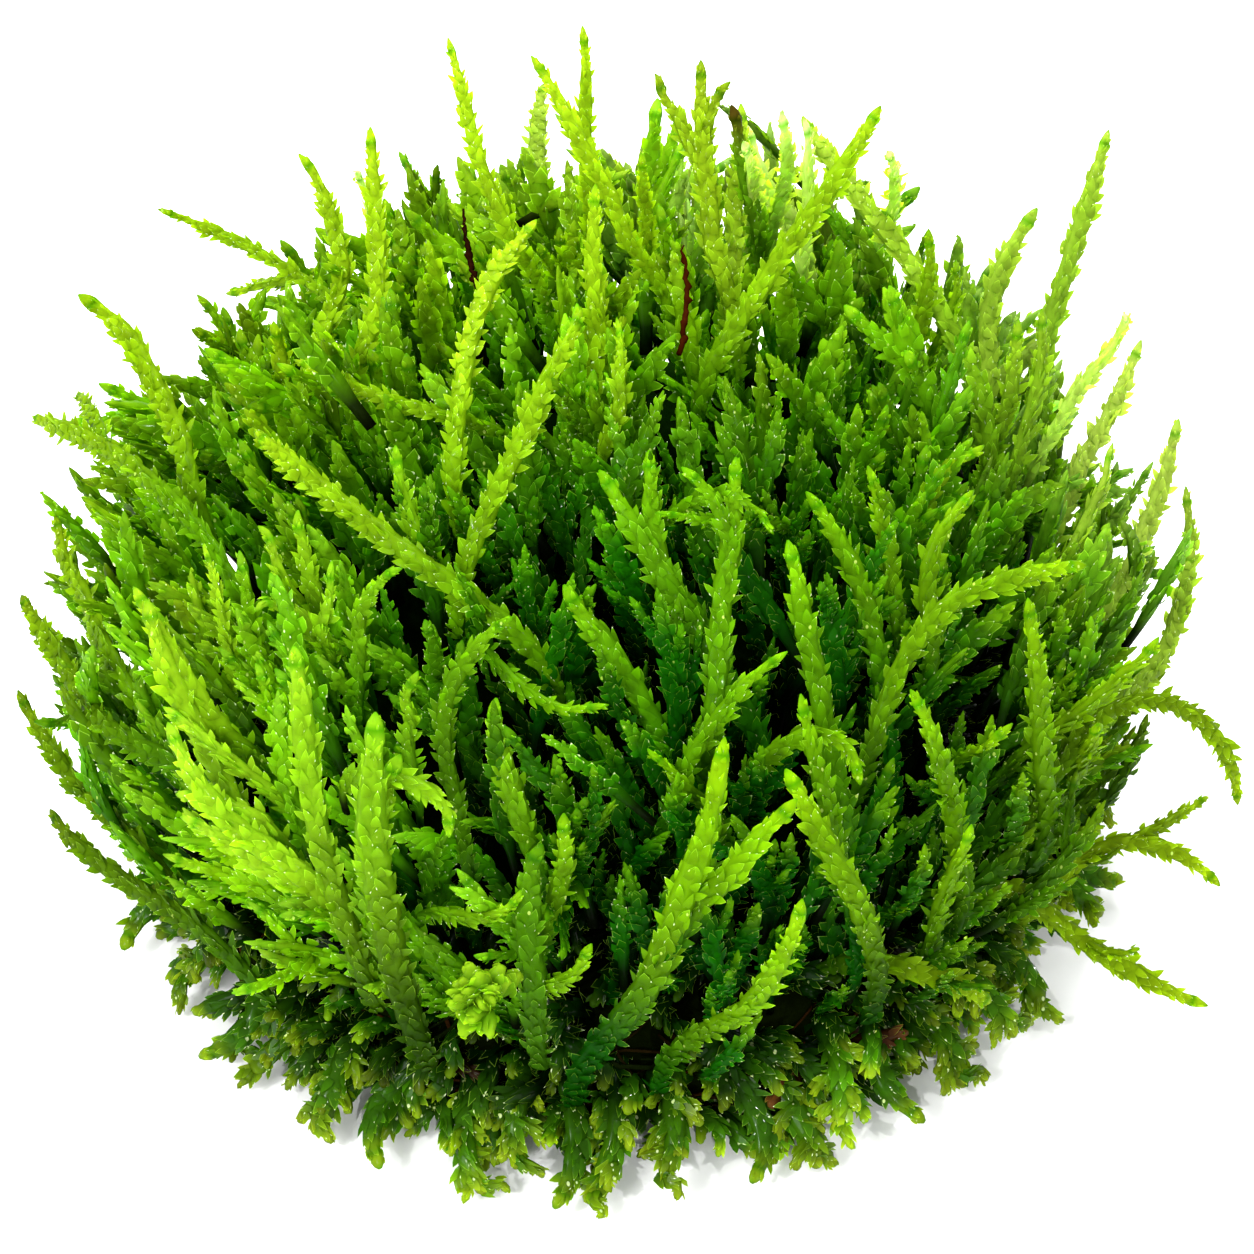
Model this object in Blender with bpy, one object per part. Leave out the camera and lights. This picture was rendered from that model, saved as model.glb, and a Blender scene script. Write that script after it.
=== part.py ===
"""A moss clump, cut off flat below: a mat of old stems, the dense cushion of short shoots that
grows on it, and the longer shoots that stand off the cushion and lie round the foot.

Units are metres, +Z is up and the origin is in the middle of the flat cut. The front is -Y.
A place on the cushion is a bearing and a tilt, in degrees, seen from the cushion's centre:
bearing 0 is +X and 90 is +Y, tilt 0 is straight up and 90 is level.
"""

import math
import random

import bmesh
import bpy
from mathutils import Vector, noise

MM = 0.001
GAP = 0.3 * MM                          # air left between neighbours that touch
CLEARANCE = 0.4 * MM                    # the same where one of them curves
WELD_DISTANCE = 0.01 * MM

# The cushion: a low dome, lumpy, with a short pointed shoot on every third point of its skin
CUSHION_CENTRE = Vector((0.0, 1.0, 13.0)) * MM
CUSHION_HALF_SIZE = Vector((28.3, 27.3, 23.0)) * MM
CUSHION_FOOT = 7.8 * MM                 # height of its flat underside
CUSHION_LUMP = 0.7 * MM                 # how far the skin swells and sinks
CUSHION_LUMP_SIZE = 9.0 * MM
SHOULDER = (155, 52)                    # where it sinks, at the back left
SHOULDER_DEPTH = 3.0 * MM
SHOULDER_WIDTH = 22                     # degrees from the deepest place to a third of the depth
CUSHION_SUBDIVISIONS = 5

POINT_HEIGHT = (2.4 * MM, 4.8 * MM)     # the short shoots
POINT_WIDTH = 4.0 * MM                  # across the foot of one
POINT_LIFT = 0.55                       # share of upward growth in their direction
POINT_RANGE = (9.6 * MM, 60 * MM)       # heights between which they start
POINT_SEED = 11
HOLLOW_DEPTH = 5.8 * MM                 # how far the skin sinks between the short shoots
HOLLOW_CLEAR = 1.5 * MM                 # it stays up this close to a long shoot, which stands on it
HOLLOW_EDGE = 4.0 * MM                  # and sinks over this distance from there

# The mat of old stems under the cushion
MAT_HALF_SIZE = Vector((25.6, 24.8, 9.5)) * MM
MAT_CENTRE = Vector((0.0, 0.6, 3.2)) * MM
MAT_TOP = CUSHION_FOOT - GAP
MAT_LUMP = 0.9 * MM
MAT_LUMP_SIZE = 5.0 * MM
MAT_SUBDIVISIONS = 4

STUB_HEIGHT = (1.6 * MM, 3.4 * MM)      # the stubby wet shoots on the mat's side
STUB_WIDTH = 4.6 * MM
STUB_LIFT = 0.12
STUB_RANGE = (1.6 * MM, 5.6 * MM)
STUB_SEED = 5
SHORTER = (1.0, 0.65, 0.4)              # what a short shoot shrinks to beside a long one

# The long shoots: six-sided tubes whose width steps in and out, as the whorls of leaves do
WHORL_LENGTH = 1.9 * MM
WHORL_PINCH = 0.80                      # width between two whorls
FOOT_TAPER = 0.62                       # width at the foot
FOOT_END = 0.25                         # share of the length where the foot has its full width
TIP_TAPER = 0.24                        # width at the tip
TIP_START = 0.66                        # share of the length where the tip begins to narrow
TIP_CURVE = 1.5                         # over 1 keeps the tip full and then pointed
STAND_CURVE = 1.25                      # over 1 keeps a shoot near the skin before it stands off
ROUGH_POINTS = 12                       # enough to measure a shoot's length
FEWEST_POINTS = 6

# name: (foot), (middle), (tip), how far the tip stands off the cushion in mm, width in mm
# A foot, middle or tip is (bearing, tilt).
LONG_SHOOTS = {
    "crown_shoot_1": ((134, 15), (136, 17), (125, 24), 12.2, 1.3),
    "crown_shoot_2": ((95, 21), (95, 19), (96, 18), 12.0, 1.4),
    "crown_shoot_3": ((66, 10), (96, 10), (115, 15), 11.6, 1.5),
    "crown_shoot_4": ((34, 17), (56, 19), (67, 23), 10.0, 1.9),
    "crown_shoot_5": ((40, 21), (52, 25), (61, 29), 7.6, 1.7),
    "crown_shoot_6": ((0, 47), (31, 36), (55, 37), 7.2, 2.0),
    "crown_shoot_7": ((-6, 17), (15, 22), (28, 28), 11.0, 1.9),
    "crown_shoot_8": ((178, 30), (160, 27), (146, 27), 9.8, 1.7),
    "crown_shoot_9": ((177, 38), (157, 35), (149, 36), 9.9, 1.7),
    "left_shoot_1": ((157, 38), (146, 53), (150, 56), 11.2, 1.2),
    "left_shoot_2": ((-176, 57), (168, 59), (165, 58), 10.8, 2.4),
    "left_shoot_3": ((-150, 55), (-172, 58), (169, 71), 7.2, 2.0),
    "left_shoot_4": ((-160, 74), (-175, 76), (175, 77), 3.6, 1.9),
    "left_shoot_5": ((-141, 76), (-158, 79), (-178, 82), 4.4, 2.0),
    "left_shoot_6": ((-150, 92), (-163, 91), (-171, 88), 4.5, 1.8),
    "left_shoot_7": ((-137, 95), (-150, 96), (-162, 96), 3.8, 2.0),
    "right_shoot_1": ((6, 60), (12, 50), (22, 47), 14.3, 2.0),
    "right_shoot_2": ((14, 51), (21, 50), (24, 49), 8.6, 2.2),
    "right_shoot_3": ((2, 66), (13, 68), (18, 66), 7.4, 2.0),
    "right_shoot_4": ((-6, 76), (6, 77), (11, 71), 6.8, 2.0),
    "right_shoot_5": ((-24, 80), (-7, 84), (2, 79), 4.9, 2.0),
    "right_shoot_6": ((-33, 80), (-22, 78), (-17, 94), 8.0, 1.5),
    "right_shoot_7": ((-29, 96), (-25, 94), (-23, 98), 8.6, 1.6),
    "right_shoot_8": ((-38, 95), (-34, 101), (-31, 103), 11.1, 1.8),
    "front_shoot_1": ((-106, 46), (-135, 41), (-160, 43), 3.4, 2.0),
    "front_shoot_2": ((-132, 25), (-176, 13), (129, 12), 3.4, 1.8),
    "front_shoot_3": ((-113, 36), (-109, 22), (-105, 9), 3.8, 1.8),
    "front_shoot_4": ((-75, 54), (-70, 42), (-63, 31), 4.2, 2.0),
    "front_shoot_5": ((-108, 64), (-109, 54), (-101, 46), 6.0, 1.5),
    "front_shoot_6": ((-63, 67), (-63, 53), (-63, 41), 5.5, 2.0),
    "front_shoot_7": ((-135, 73), (-142, 67), (-149, 60), 4.4, 2.4),
    "front_shoot_8": ((-125, 78), (-132, 74), (-138, 67), 5.0, 2.2),
    "front_shoot_9": ((-117, 83), (-121, 68), (-126, 54), 6.0, 2.2),
    "front_shoot_10": ((-110, 88), (-112, 71), (-113, 56), 8.0, 2.8),
    "front_shoot_11": ((-91, 94), (-84, 75), (-78, 56), 8.0, 2.6),
    "front_shoot_12": ((-81, 94), (-76, 82), (-73, 70), 8.0, 2.0),
    "front_shoot_13": ((-62, 86), (-66, 73), (-71, 61), 5.0, 2.2),
    "front_shoot_14": ((-50, 80), (-52, 69), (-55, 58), 5.0, 1.8),
    "front_shoot_15": ((-36, 80), (-37, 68), (-36, 57), 5.0, 2.2),
    "front_shoot_16": ((-53, 60), (-41, 54), (-29, 58), 6.5, 1.9),
    "front_shoot_17": ((-97, 85), (-97, 76), (-96, 67), 3.6, 2.4),
    "back_shoot_1": ((100, 50), (99, 56), (97, 61), 9.0, 1.9),
    "back_shoot_2": ((66, 58), (63, 65), (61, 71), 8.0, 2.0),
    "back_shoot_3": ((127, 66), (131, 74), (133, 80), 7.0, 1.8),
    "back_shoot_4": ((92, 80), (96, 88), (99, 92), 6.0, 2.0),
    "back_shoot_5": ((44, 78), (40, 86), (37, 90), 7.0, 1.8),
}

# name: the forks of that shoot, each (share of its length where it leaves), (tip), reach
FORKS = {
    "crown_shoot_4": [(0.45, (77, 21), 9.0), (0.55, (57, 22), 9.6)],
    "left_shoot_3": [(0.62, (166, 68), 6.3)],
    "right_shoot_5": [(0.60, (6, 75), 5.6)],
    "right_shoot_7": [(0.35, (-17, 94), 6.4)],
    "right_shoot_8": [(0.35, (-38, 93), 7.5)],
    "front_shoot_4": [(0.55, (-75, 31), 4.6)],
    "front_shoot_11": [(0.40, (-72, 62), 8.0)],
}
FORK_WIDTH = 0.8                        # of the parent's width
FORK_BOW = 0.12                         # how far it bows along the parent, of its length
FORK_POINTS = 4                         # at least

# The shoots that lie round the foot: (bearing), (reach from the middle in mm), (bend in degrees)
FOOT_SHOOTS = {
    "foot_shoot_1": (-156, 29.4, 3),
    "foot_shoot_2": (-138, 29.6, -3),
    "foot_shoot_3": (-113, 30.0, 3),
    "foot_shoot_4": (-95, 30.4, -2),
    "foot_shoot_5": (-75, 29.6, -3),
    "foot_shoot_6": (-55, 29.8, 2),
    "foot_shoot_7": (-12, 30.0, 3),
    "foot_shoot_8": (32, 29.6, -3),
    "foot_shoot_9": (105, 29.4, 3),
    "foot_shoot_10": (155, 29.8, -3),
}
FOOT_SHOOT_WIDTH = 2.2 * MM
FOOT_SHOOT_START = 5.2 * MM             # height where it leaves the mat
FOOT_SHOOT_END = 1.5 * MM               # height of its tip
FOOT_SHOOT_SLOPE = 0.8                  # under 1 makes it come down early and then lie flat
FOOT_SHOOT_POINTS = 6

# Bare old stems that show between the shoots: foot, tip, reach, width as above
OLD_STEMS = {
    "old_stem_1": ((152, 19), (144, 21), (136, 23), 3.6, 0.5),
    "old_stem_2": ((-36, 12), (-13, 10), (15, 9), 3.6, 0.6),
}

FINISHES = {                            # name: (linear colour, roughness)
    "shoot_green": ((0.22, 0.45, 0.02), 0.35),
    "cushion_green": ((0.04, 0.17, 0.01), 0.5),
    "foot_green": ((0.08, 0.20, 0.02), 0.3),
    "mat_brown": ((0.06, 0.045, 0.02), 0.7),
    "stem_brown": ((0.12, 0.04, 0.02), 0.6),
}


def direction(place):
    bearing, tilt = (math.radians(angle) for angle in place)
    return Vector((math.sin(tilt) * math.cos(bearing), math.sin(tilt) * math.sin(bearing), math.cos(tilt)))


def lumps(point, size, height):
    return height * noise.noise(point / size)


def skin_radius(toward):
    """Distance from the cushion's centre to its skin, along a unit vector."""
    reach = 1.0 / Vector(toward[i] / CUSHION_HALF_SIZE[i] for i in range(3)).length
    away = math.degrees(toward.angle(direction(SHOULDER)))
    sunk = SHOULDER_DEPTH * math.exp(-((away / SHOULDER_WIDTH) ** 2))
    return reach - sunk + lumps(toward * reach, CUSHION_LUMP_SIZE, CUSHION_LUMP)


def off_skin(toward, height):
    return CUSHION_CENTRE + toward * (skin_radius(toward) + height)


def through(start, middle, end, t):
    """The point at t on the parabola that passes three points at t = 0, 0.5 and 1."""
    return start * (1 - t) * (1 - 2 * t) + middle * 4 * t * (1 - t) + end * t * (2 * t - 1)


def shoot_path(foot, middle, tip, reach, width, points):
    """From a foot that just clears the skin to a tip that stands off it by the reach."""
    ways = [direction(place) for place in (foot, middle, tip)]
    clear = CLEARANCE + width / 2
    path = []
    for i in range(points):
        t = i / (points - 1)
        toward = through(*ways, t).normalized()
        path.append(off_skin(toward, clear + (reach - clear) * t ** STAND_CURVE))
    return path


def path_length(path):
    return sum((b - a).length for a, b in zip(path, path[1:]))


def whorl_width(t, i):
    width = 1.0 if i % 2 else WHORL_PINCH
    if t < FOOT_END:
        width *= FOOT_TAPER + (1 - FOOT_TAPER) * t / FOOT_END
    if t > TIP_START:
        width *= 1 - (1 - TIP_TAPER) * ((t - TIP_START) / (1 - TIP_START)) ** TIP_CURVE
    return width


def tube(name, path, width):
    """A closed six-sided tube along a path, as a mesh object."""
    curve = bpy.data.curves.new(name, "CURVE")
    curve.dimensions = "3D"
    curve.bevel_depth = width / 2
    curve.bevel_resolution = 1
    curve.use_fill_caps = True
    spline = curve.splines.new("POLY")
    spline.points.add(len(path) - 1)
    for i, (point, place) in enumerate(zip(spline.points, path)):
        point.co = (*place, 1.0)
        point.radius = whorl_width(i / (len(path) - 1), i)
    drawn = bpy.data.objects.new(name + "_curve", curve)
    bpy.context.scene.collection.objects.link(drawn)
    graph = bpy.context.evaluated_depsgraph_get()
    mesh = bpy.data.meshes.new_from_object(drawn.evaluated_get(graph))
    bpy.data.objects.remove(drawn)
    weld(mesh)
    return mesh


def weld(mesh):
    grid = bmesh.new()
    grid.from_mesh(mesh)
    bmesh.ops.remove_doubles(grid, verts=grid.verts, dist=WELD_DISTANCE)
    bmesh.ops.recalc_face_normals(grid, faces=grid.faces)
    grid.to_mesh(mesh)
    grid.free()


def place_piece(name, mesh, finish, parts):
    piece = bpy.data.objects.new(name, mesh)
    mesh.name = name
    mesh.materials.clear()
    mesh.materials.append(finish)
    parts.objects.link(piece)
    return piece


def fuse(piece, branch_mesh, cutters):
    """Join a branch to its shoot as one body."""
    branch = bpy.data.objects.new(piece.name + "_branch", branch_mesh)
    branch.hide_render = True
    branch.display_type = "WIRE"
    cutters.objects.link(branch)
    union = piece.modifiers.new("fork", "BOOLEAN")
    union.operation = "UNION"
    union.solver = "EXACT"
    union.object = branch


def make_long_shoot(name, row, finish, parts, cutters):
    foot, middle, tip, reach, width = row
    reach, width = reach * MM, width * MM
    rough = shoot_path(foot, middle, tip, reach, width, ROUGH_POINTS)
    points = max(FEWEST_POINTS, round(path_length(rough) / WHORL_LENGTH) + 1)
    path = shoot_path(foot, middle, tip, reach, width, points)
    piece = place_piece(name, tube(name, path, width), finish, parts)
    paths = [(path, width / 2)]
    for share, fork_tip, fork_reach in FORKS.get(name, []):
        start = path[round(share * (points - 1))]
        end = off_skin(direction(fork_tip), fork_reach * MM)
        bow = (start - path[0]).normalized() * (end - start).length * FORK_BOW
        bend = (start + end) / 2 + bow
        count = max(FORK_POINTS, round((end - start).length / WHORL_LENGTH) + 1)
        fork = [through(start, bend, end, i / (count - 1)) for i in range(count)]
        fuse(piece, tube(name + "_fork", fork, width * FORK_WIDTH), cutters)
        paths.append((fork, width * FORK_WIDTH / 2))
    return paths


def make_foot_shoot(name, row, finish, parts):
    """A shoot that leaves the side of the mat and comes down to lie on the ground."""
    bearing, reach, bend = row
    path = []
    for i in range(FOOT_SHOOT_POINTS):
        t = i / (FOOT_SHOOT_POINTS - 1)
        angle = math.radians(bearing + bend * (t - 1) * t * 4)
        start = mat_edge(bearing) + CLEARANCE
        radius = start + (reach * MM - start) * t
        height = FOOT_SHOOT_START + (FOOT_SHOOT_END - FOOT_SHOOT_START) * t ** FOOT_SHOOT_SLOPE
        path.append(Vector((radius * math.cos(angle), radius * math.sin(angle), height)))
    place_piece(name, tube(name, path, FOOT_SHOOT_WIDTH), finish, parts)
    return [(path, FOOT_SHOOT_WIDTH / 2)]


def make_finish(name):
    colour, roughness = FINISHES[name]
    finish = bpy.data.materials.new(name)
    finish.use_nodes = True
    shader = finish.node_tree.nodes["Principled BSDF"]
    shader.inputs["Base Color"].default_value = (*colour, 1.0)
    shader.inputs["Roughness"].default_value = roughness
    shader.inputs["Metallic"].default_value = 0.0
    return finish


def mat_skin(toward):
    reach = 1.0 / Vector(toward[i] / MAT_HALF_SIZE[i] for i in range(3)).length
    return reach + lumps(toward * reach, MAT_LUMP_SIZE, MAT_LUMP)


def mat_edge(bearing):
    """How far the mat reaches from the middle, behind the foot of a foot shoot."""
    tilt = 90 - math.degrees(math.asin((FOOT_SHOOT_START - MAT_CENTRE.z) / MAT_HALF_SIZE.x))
    around = [direction((bearing + aside, tilt + down)) for aside in (-2, 0, 2) for down in (-2, 0, 2)]
    return max((MAT_CENTRE + toward * mat_skin(toward)).xy.length for toward in around)


def rounded_grid(centre, skin, subdivisions):
    """A closed form round a centre, its skin given as a distance for each direction."""
    grid = bmesh.new()
    bmesh.ops.create_icosphere(grid, subdivisions=subdivisions, radius=1.0)
    for corner in grid.verts:
        toward = corner.co.normalized()
        corner.co = centre + toward * skin(toward)
    return grid


def cut_level(grid, height, keep_above):
    """Cut off what is past a level plane and close the opening with one flat face."""
    geometry = grid.verts[:] + grid.edges[:] + grid.faces[:]
    cut = bmesh.ops.bisect_plane(
        grid, geom=geometry, dist=0.000001, plane_co=(0.0, 0.0, height), plane_no=(0.0, 0.0, 1.0),
        clear_inner=keep_above, clear_outer=not keep_above)
    rim = [item for item in cut["geom_cut"] if isinstance(item, bmesh.types.BMEdge)]
    bmesh.ops.contextual_create(grid, geom=rim)


def is_clear(foot, tip, half_width, shoots):
    """Whether a short shoot's cone keeps away from all the long ones."""
    for share in (0.25, 0.5, 0.75, 1.0):
        place = foot.lerp(tip, share)
        cone = half_width * (1 - share)
        for path, radius in shoots:
            if any((place - point).length < radius + cone + CLEARANCE for point in path):
                return False
    return True


def raise_points(grid, centre, shoots, height_range, width, lift, start_range, seed):
    """Draw corners of a lumpy skin out into pointed short shoots, no two side by side."""
    draw = random.Random(seed)
    corners = list(grid.verts)
    draw.shuffle(corners)
    taken = set()
    raised = set()
    for corner in corners:
        height = draw.uniform(*height_range)
        if corner in taken or not start_range[0] < corner.co.z < start_range[1]:
            continue
        outward = (corner.co - centre).normalized()
        growth = (outward * (1 - lift) + Vector((0.0, 0.0, lift))).normalized()
        tips = (corner.co + growth * height * share for share in SHORTER)
        tip = next((tip for tip in tips if is_clear(corner.co, tip, width / 2, shoots)), None)
        if tip:
            corner.co = tip
            raised.add(corner)
            taken.add(corner)
            taken.update(edge.other_vert(corner) for edge in corner.link_edges)
    return raised


def sink_between(grid, centre, raised, shoots):
    """Lower the skin between the short shoots, down to the shade they stand in."""
    for corner in grid.verts:
        if corner not in raised:
            room = min((corner.co - point).length - radius for path, radius in shoots for point in path)
            share = min(1.0, max(0.0, (room - HOLLOW_CLEAR) / HOLLOW_EDGE))
            corner.co -= (corner.co - centre).normalized() * HOLLOW_DEPTH * share


def finish_grid(name, grid, finish, parts):
    bmesh.ops.recalc_face_normals(grid, faces=grid.faces)
    mesh = bpy.data.meshes.new(name)
    grid.to_mesh(mesh)
    grid.free()
    return place_piece(name, mesh, finish, parts)


def make_cushion(shoots, finish, parts):
    grid = rounded_grid(CUSHION_CENTRE, skin_radius, CUSHION_SUBDIVISIONS)
    raised = raise_points(
        grid, CUSHION_CENTRE, shoots, POINT_HEIGHT, POINT_WIDTH, POINT_LIFT, POINT_RANGE, POINT_SEED)
    sink_between(grid, CUSHION_CENTRE, raised, shoots)
    cut_level(grid, CUSHION_FOOT, keep_above=True)
    finish_grid("cushion", grid, finish, parts)


def make_base_mat(shoots, finish, parts):
    grid = rounded_grid(MAT_CENTRE, mat_skin, MAT_SUBDIVISIONS)
    raise_points(grid, MAT_CENTRE, shoots, STUB_HEIGHT, STUB_WIDTH, STUB_LIFT, STUB_RANGE, STUB_SEED)
    cut_level(grid, 0.0, keep_above=True)
    cut_level(grid, MAT_TOP, keep_above=False)
    finish_grid("base_mat", grid, finish, parts)


def new_collection(name):
    collection = bpy.data.collections.new(name)
    bpy.context.scene.collection.children.link(collection)
    return collection


def main():
    for item in list(bpy.data.objects):
        bpy.data.objects.remove(item)
    parts = new_collection("moss_clump")
    cutters = new_collection("forks")
    finishes = {name: make_finish(name) for name in FINISHES}
    shoots = []
    for name, row in LONG_SHOOTS.items():
        shoots += make_long_shoot(name, row, finishes["shoot_green"], parts, cutters)
    for name, row in OLD_STEMS.items():
        shoots += make_long_shoot(name, row, finishes["stem_brown"], parts, cutters)
    for name, row in FOOT_SHOOTS.items():
        shoots += make_foot_shoot(name, row, finishes["foot_green"], parts)
    make_cushion(shoots, finishes["cushion_green"], parts)
    make_base_mat(shoots, finishes["mat_brown"], parts)


main()
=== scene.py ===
import math

import bpy
import numpy as np
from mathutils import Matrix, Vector, noise


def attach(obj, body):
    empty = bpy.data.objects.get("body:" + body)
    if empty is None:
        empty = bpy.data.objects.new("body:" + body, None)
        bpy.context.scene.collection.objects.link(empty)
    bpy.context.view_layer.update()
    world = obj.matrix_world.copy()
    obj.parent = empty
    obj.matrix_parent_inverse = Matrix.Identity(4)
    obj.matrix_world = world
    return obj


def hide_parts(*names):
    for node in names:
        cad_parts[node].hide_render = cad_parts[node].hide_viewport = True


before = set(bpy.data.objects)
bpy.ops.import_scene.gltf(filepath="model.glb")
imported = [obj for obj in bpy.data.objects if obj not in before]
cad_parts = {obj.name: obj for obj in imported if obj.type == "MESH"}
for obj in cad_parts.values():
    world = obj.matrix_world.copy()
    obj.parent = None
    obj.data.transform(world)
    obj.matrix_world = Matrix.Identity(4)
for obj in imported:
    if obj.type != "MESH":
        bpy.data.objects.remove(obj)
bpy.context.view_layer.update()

mm = 0.001                                  # lengths are in millimetres, apart from the studio's
print("frame loaded:", len(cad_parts), "nodes")


# the form that the shoots stand on, as the solids have it
cushion = {
    "centre": (0.0, 1.0, 13.0),
    "halfSize": (28.3, 27.3, 23.0),
    "lump": 0.7,
    "lumpSize": 9.0,
    "shoulder": (155, 52),                  # bearing and tilt of the place where it sinks
    "shoulderDepth": 3.0,
    "shoulderWidth": 22,                    # degrees
    "clearance": 0.4,                       # between the skin and the foot of a long shoot
    "standCurve": 1.25,                     # over 1, a long shoot leaves the skin late
    "tipsAbove": 3.0,                       # daylight is full at this height over the skin
}
cushionCentre = np.array(cushion["centre"])
cushionHalf = np.array(cushion["halfSize"])

# where each kind of shoot starts its random numbers
firstSeed = {"fibres": 77, "long": 100, "foot": 400, "stem": 800, "short": 1000, "skirt": 3000, "lower": 5000,
             "tall": 6000, "strand": 7000, "rosette": 8000, "beside": 9000, "outer": 11000, "fringe": 12000}


def drawFor(kind, number=0):
    return np.random.default_rng(firstSeed[kind] + number)


def linear(colour):
    # sRGB hex to linear RGB
    values = [int(colour[i:i + 2], 16) / 255 for i in (1, 3, 5)]
    return np.array([v / 12.92 if v <= 0.04045 else ((v + 0.055) / 1.055) ** 2.4 for v in values])


def linearAll(*colours):
    return np.array([linear(colour) for colour in colours])


def smooth(low, high, value):
    t = np.clip((value - low) / (high - low), 0.0, 1.0)
    return t * t * (3 - 2 * t)


def rising(pair, share):
    # the first value at share 0, and the second one more at share 1
    return pair[0] + pair[1] * share


def unit(vectors):
    return vectors / np.maximum(np.linalg.norm(vectors, axis=-1, keepdims=True), 1e-9)


def direction(place):
    # unit vector from a bearing in the plan and a tilt from upright, in degrees
    bearing, tilt = (math.radians(angle) for angle in place)
    return np.array((math.sin(tilt) * math.cos(bearing), math.sin(tilt) * math.sin(bearing), math.cos(tilt)))


def levelWays(bearing):
    # level unit vectors outward and to the side, from a bearing in radians
    x, y = math.cos(bearing), math.sin(bearing)
    return np.array((x, y, 0.0)), np.array((-y, x, 0.0))


def skinRadius(toward):
    # distance from the cushion's centre to its skin, along a unit vector
    reach = 1.0 / np.linalg.norm(toward / cushionHalf)
    cosine = float(np.clip(toward @ direction(cushion["shoulder"]), -1, 1))
    away = math.degrees(math.acos(cosine))
    sunk = cushion["shoulderDepth"] * math.exp(-((away / cushion["shoulderWidth"]) ** 2))
    lump = cushion["lump"] * noise.noise(Vector(toward * reach / cushion["lumpSize"]))
    return reach - sunk + lump


def offSkin(toward, height):
    return cushionCentre + toward * (skinRadius(toward) + height)


def through(start, middle, end, t):
    # the parabola that passes three points at t = 0, 0.5 and 1
    return start * (1 - t) * (1 - 2 * t) + middle * 4 * t * (1 - t) + end * t * (2 * t - 1)


def bowed(start, middle, end, points):
    return np.array([through(start, middle, end, i / (points - 1)) for i in range(points)])


def shootPath(foot, middle, tip, reach, width, points=26):
    # a long shoot lies along the skin at its foot and stands off it at its tip
    ways = [direction(place) for place in (foot, middle, tip)]
    clear = cushion["clearance"] + width / 2
    path = []
    for i in range(points):
        t = i / (points - 1)
        toward = unit(through(*ways, t))
        path.append(offSkin(toward, clear + (reach - clear) * t ** cushion["standCurve"]))
    return np.array(path)


def depthBelow(points):
    # how deep points lie under the outermost tips, in mm
    away = points - cushionCentre
    far = np.linalg.norm(away, axis=-1)
    toward = away / np.maximum(far, 1e-6)[..., None]
    return 1.0 / np.linalg.norm(toward / (cushionHalf + cushion["tipsAbove"]), axis=-1) - far


# colours of the shoots, by where on the clump they stand: their own greens with painted light, paler at the
# crown and top right where light shines through them from above and behind, darker in the shaded middle and
# front
zones = {
    # name: (bearing, tilt, spread in degrees, tip, middle and foot colours, clear depth in mm, fullness)
    "crown": (90, 14, 24, "#b0d024", "#86b808", "#3c7c04", 9.5, 0.9),
    "crownTop": (78, 50, 14, "#dce6a8", "#a8c448", "#5c8c10", 12.0, 0.7),
    "left": (172, 56, 32, "#8cac12", "#5e9204", "#245c02", 7.0, 1.0),
    "lowLeft": (-165, 90, 20, "#688c0e", "#347004", "#062e01", 3.0, 0.9),
    "frontLeft": (-128, 70, 22, "#a2cc36", "#8ac40a", "#2c7001", 5.0, 0.9),
    "middle": (-88, 36, 32, "#68ac08", "#085a01", "#012a01", 2.4, 0.7),
    "frontMiddle": (-88, 72, 26, "#84b60a", "#085401", "#012401", 2.2, 0.7),
    "frontRight": (-50, 66, 26, "#80b60a", "#0e5a01", "#022801", 2.4, 0.7),
    "rightTop": (14, 64, 15, "#ccd88c", "#98b83c", "#4c8004", 10.0, 0.9),
    "right": (0, 50, 28, "#88b012", "#508c04", "#164e02", 6.0, 1.0),
    "lowRight": (-28, 88, 26, "#88a414", "#4c7408", "#1a3c02", 4.5, 0.8),
    "back": (90, 66, 50, "#84a81a", "#568604", "#1c5001", 5.0, 0.9),
}
zoneWays = np.array([direction(row[:2]) for row in zones.values()])
zoneSpread = np.array([row[2] for row in zones.values()])
zoneTones = np.array([linearAll(*row[3:6]) for row in zones.values()])
zoneRoom = np.array([row[6:] for row in zones.values()])


def zoneShares(point):
    toward = unit(np.asarray(point) - cushionCentre)
    away = np.degrees(np.arccos(np.clip(zoneWays @ toward, -1, 1)))
    weights = np.exp(-((away / zoneSpread) ** 2)) + 1e-6
    return weights / weights.sum()


def tonesAt(point):
    # tip, middle and foot colours for a shoot whose tip is at the point
    return np.tensordot(zoneShares(point), zoneTones, axes=1)


def roomAt(point):
    # how deep daylight reaches there, and how full of shoots it is
    return zoneShares(point) @ zoneRoom


# meshes are collected as arrays and made in one go
pieceTriangles = {}


def newGrowth():
    return {"points": [], "tone": [], "edge": [], "shine": [], "quads": [], "triangles": [], "count": 0}


def addFaces(growth, points, tone, edge, shine, quads, triangles):
    growth["points"].append(points.reshape(-1, 3))
    growth["tone"].append(tone.reshape(-1, 3))
    growth["edge"].append(edge.reshape(-1))
    growth["shine"].append(shine.reshape(-1))
    growth["quads"].append(quads.reshape(-1, 4) + growth["count"])
    growth["triangles"].append(triangles.reshape(-1, 3) + growth["count"])
    growth["count"] += growth["points"][-1].shape[0]


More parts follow.
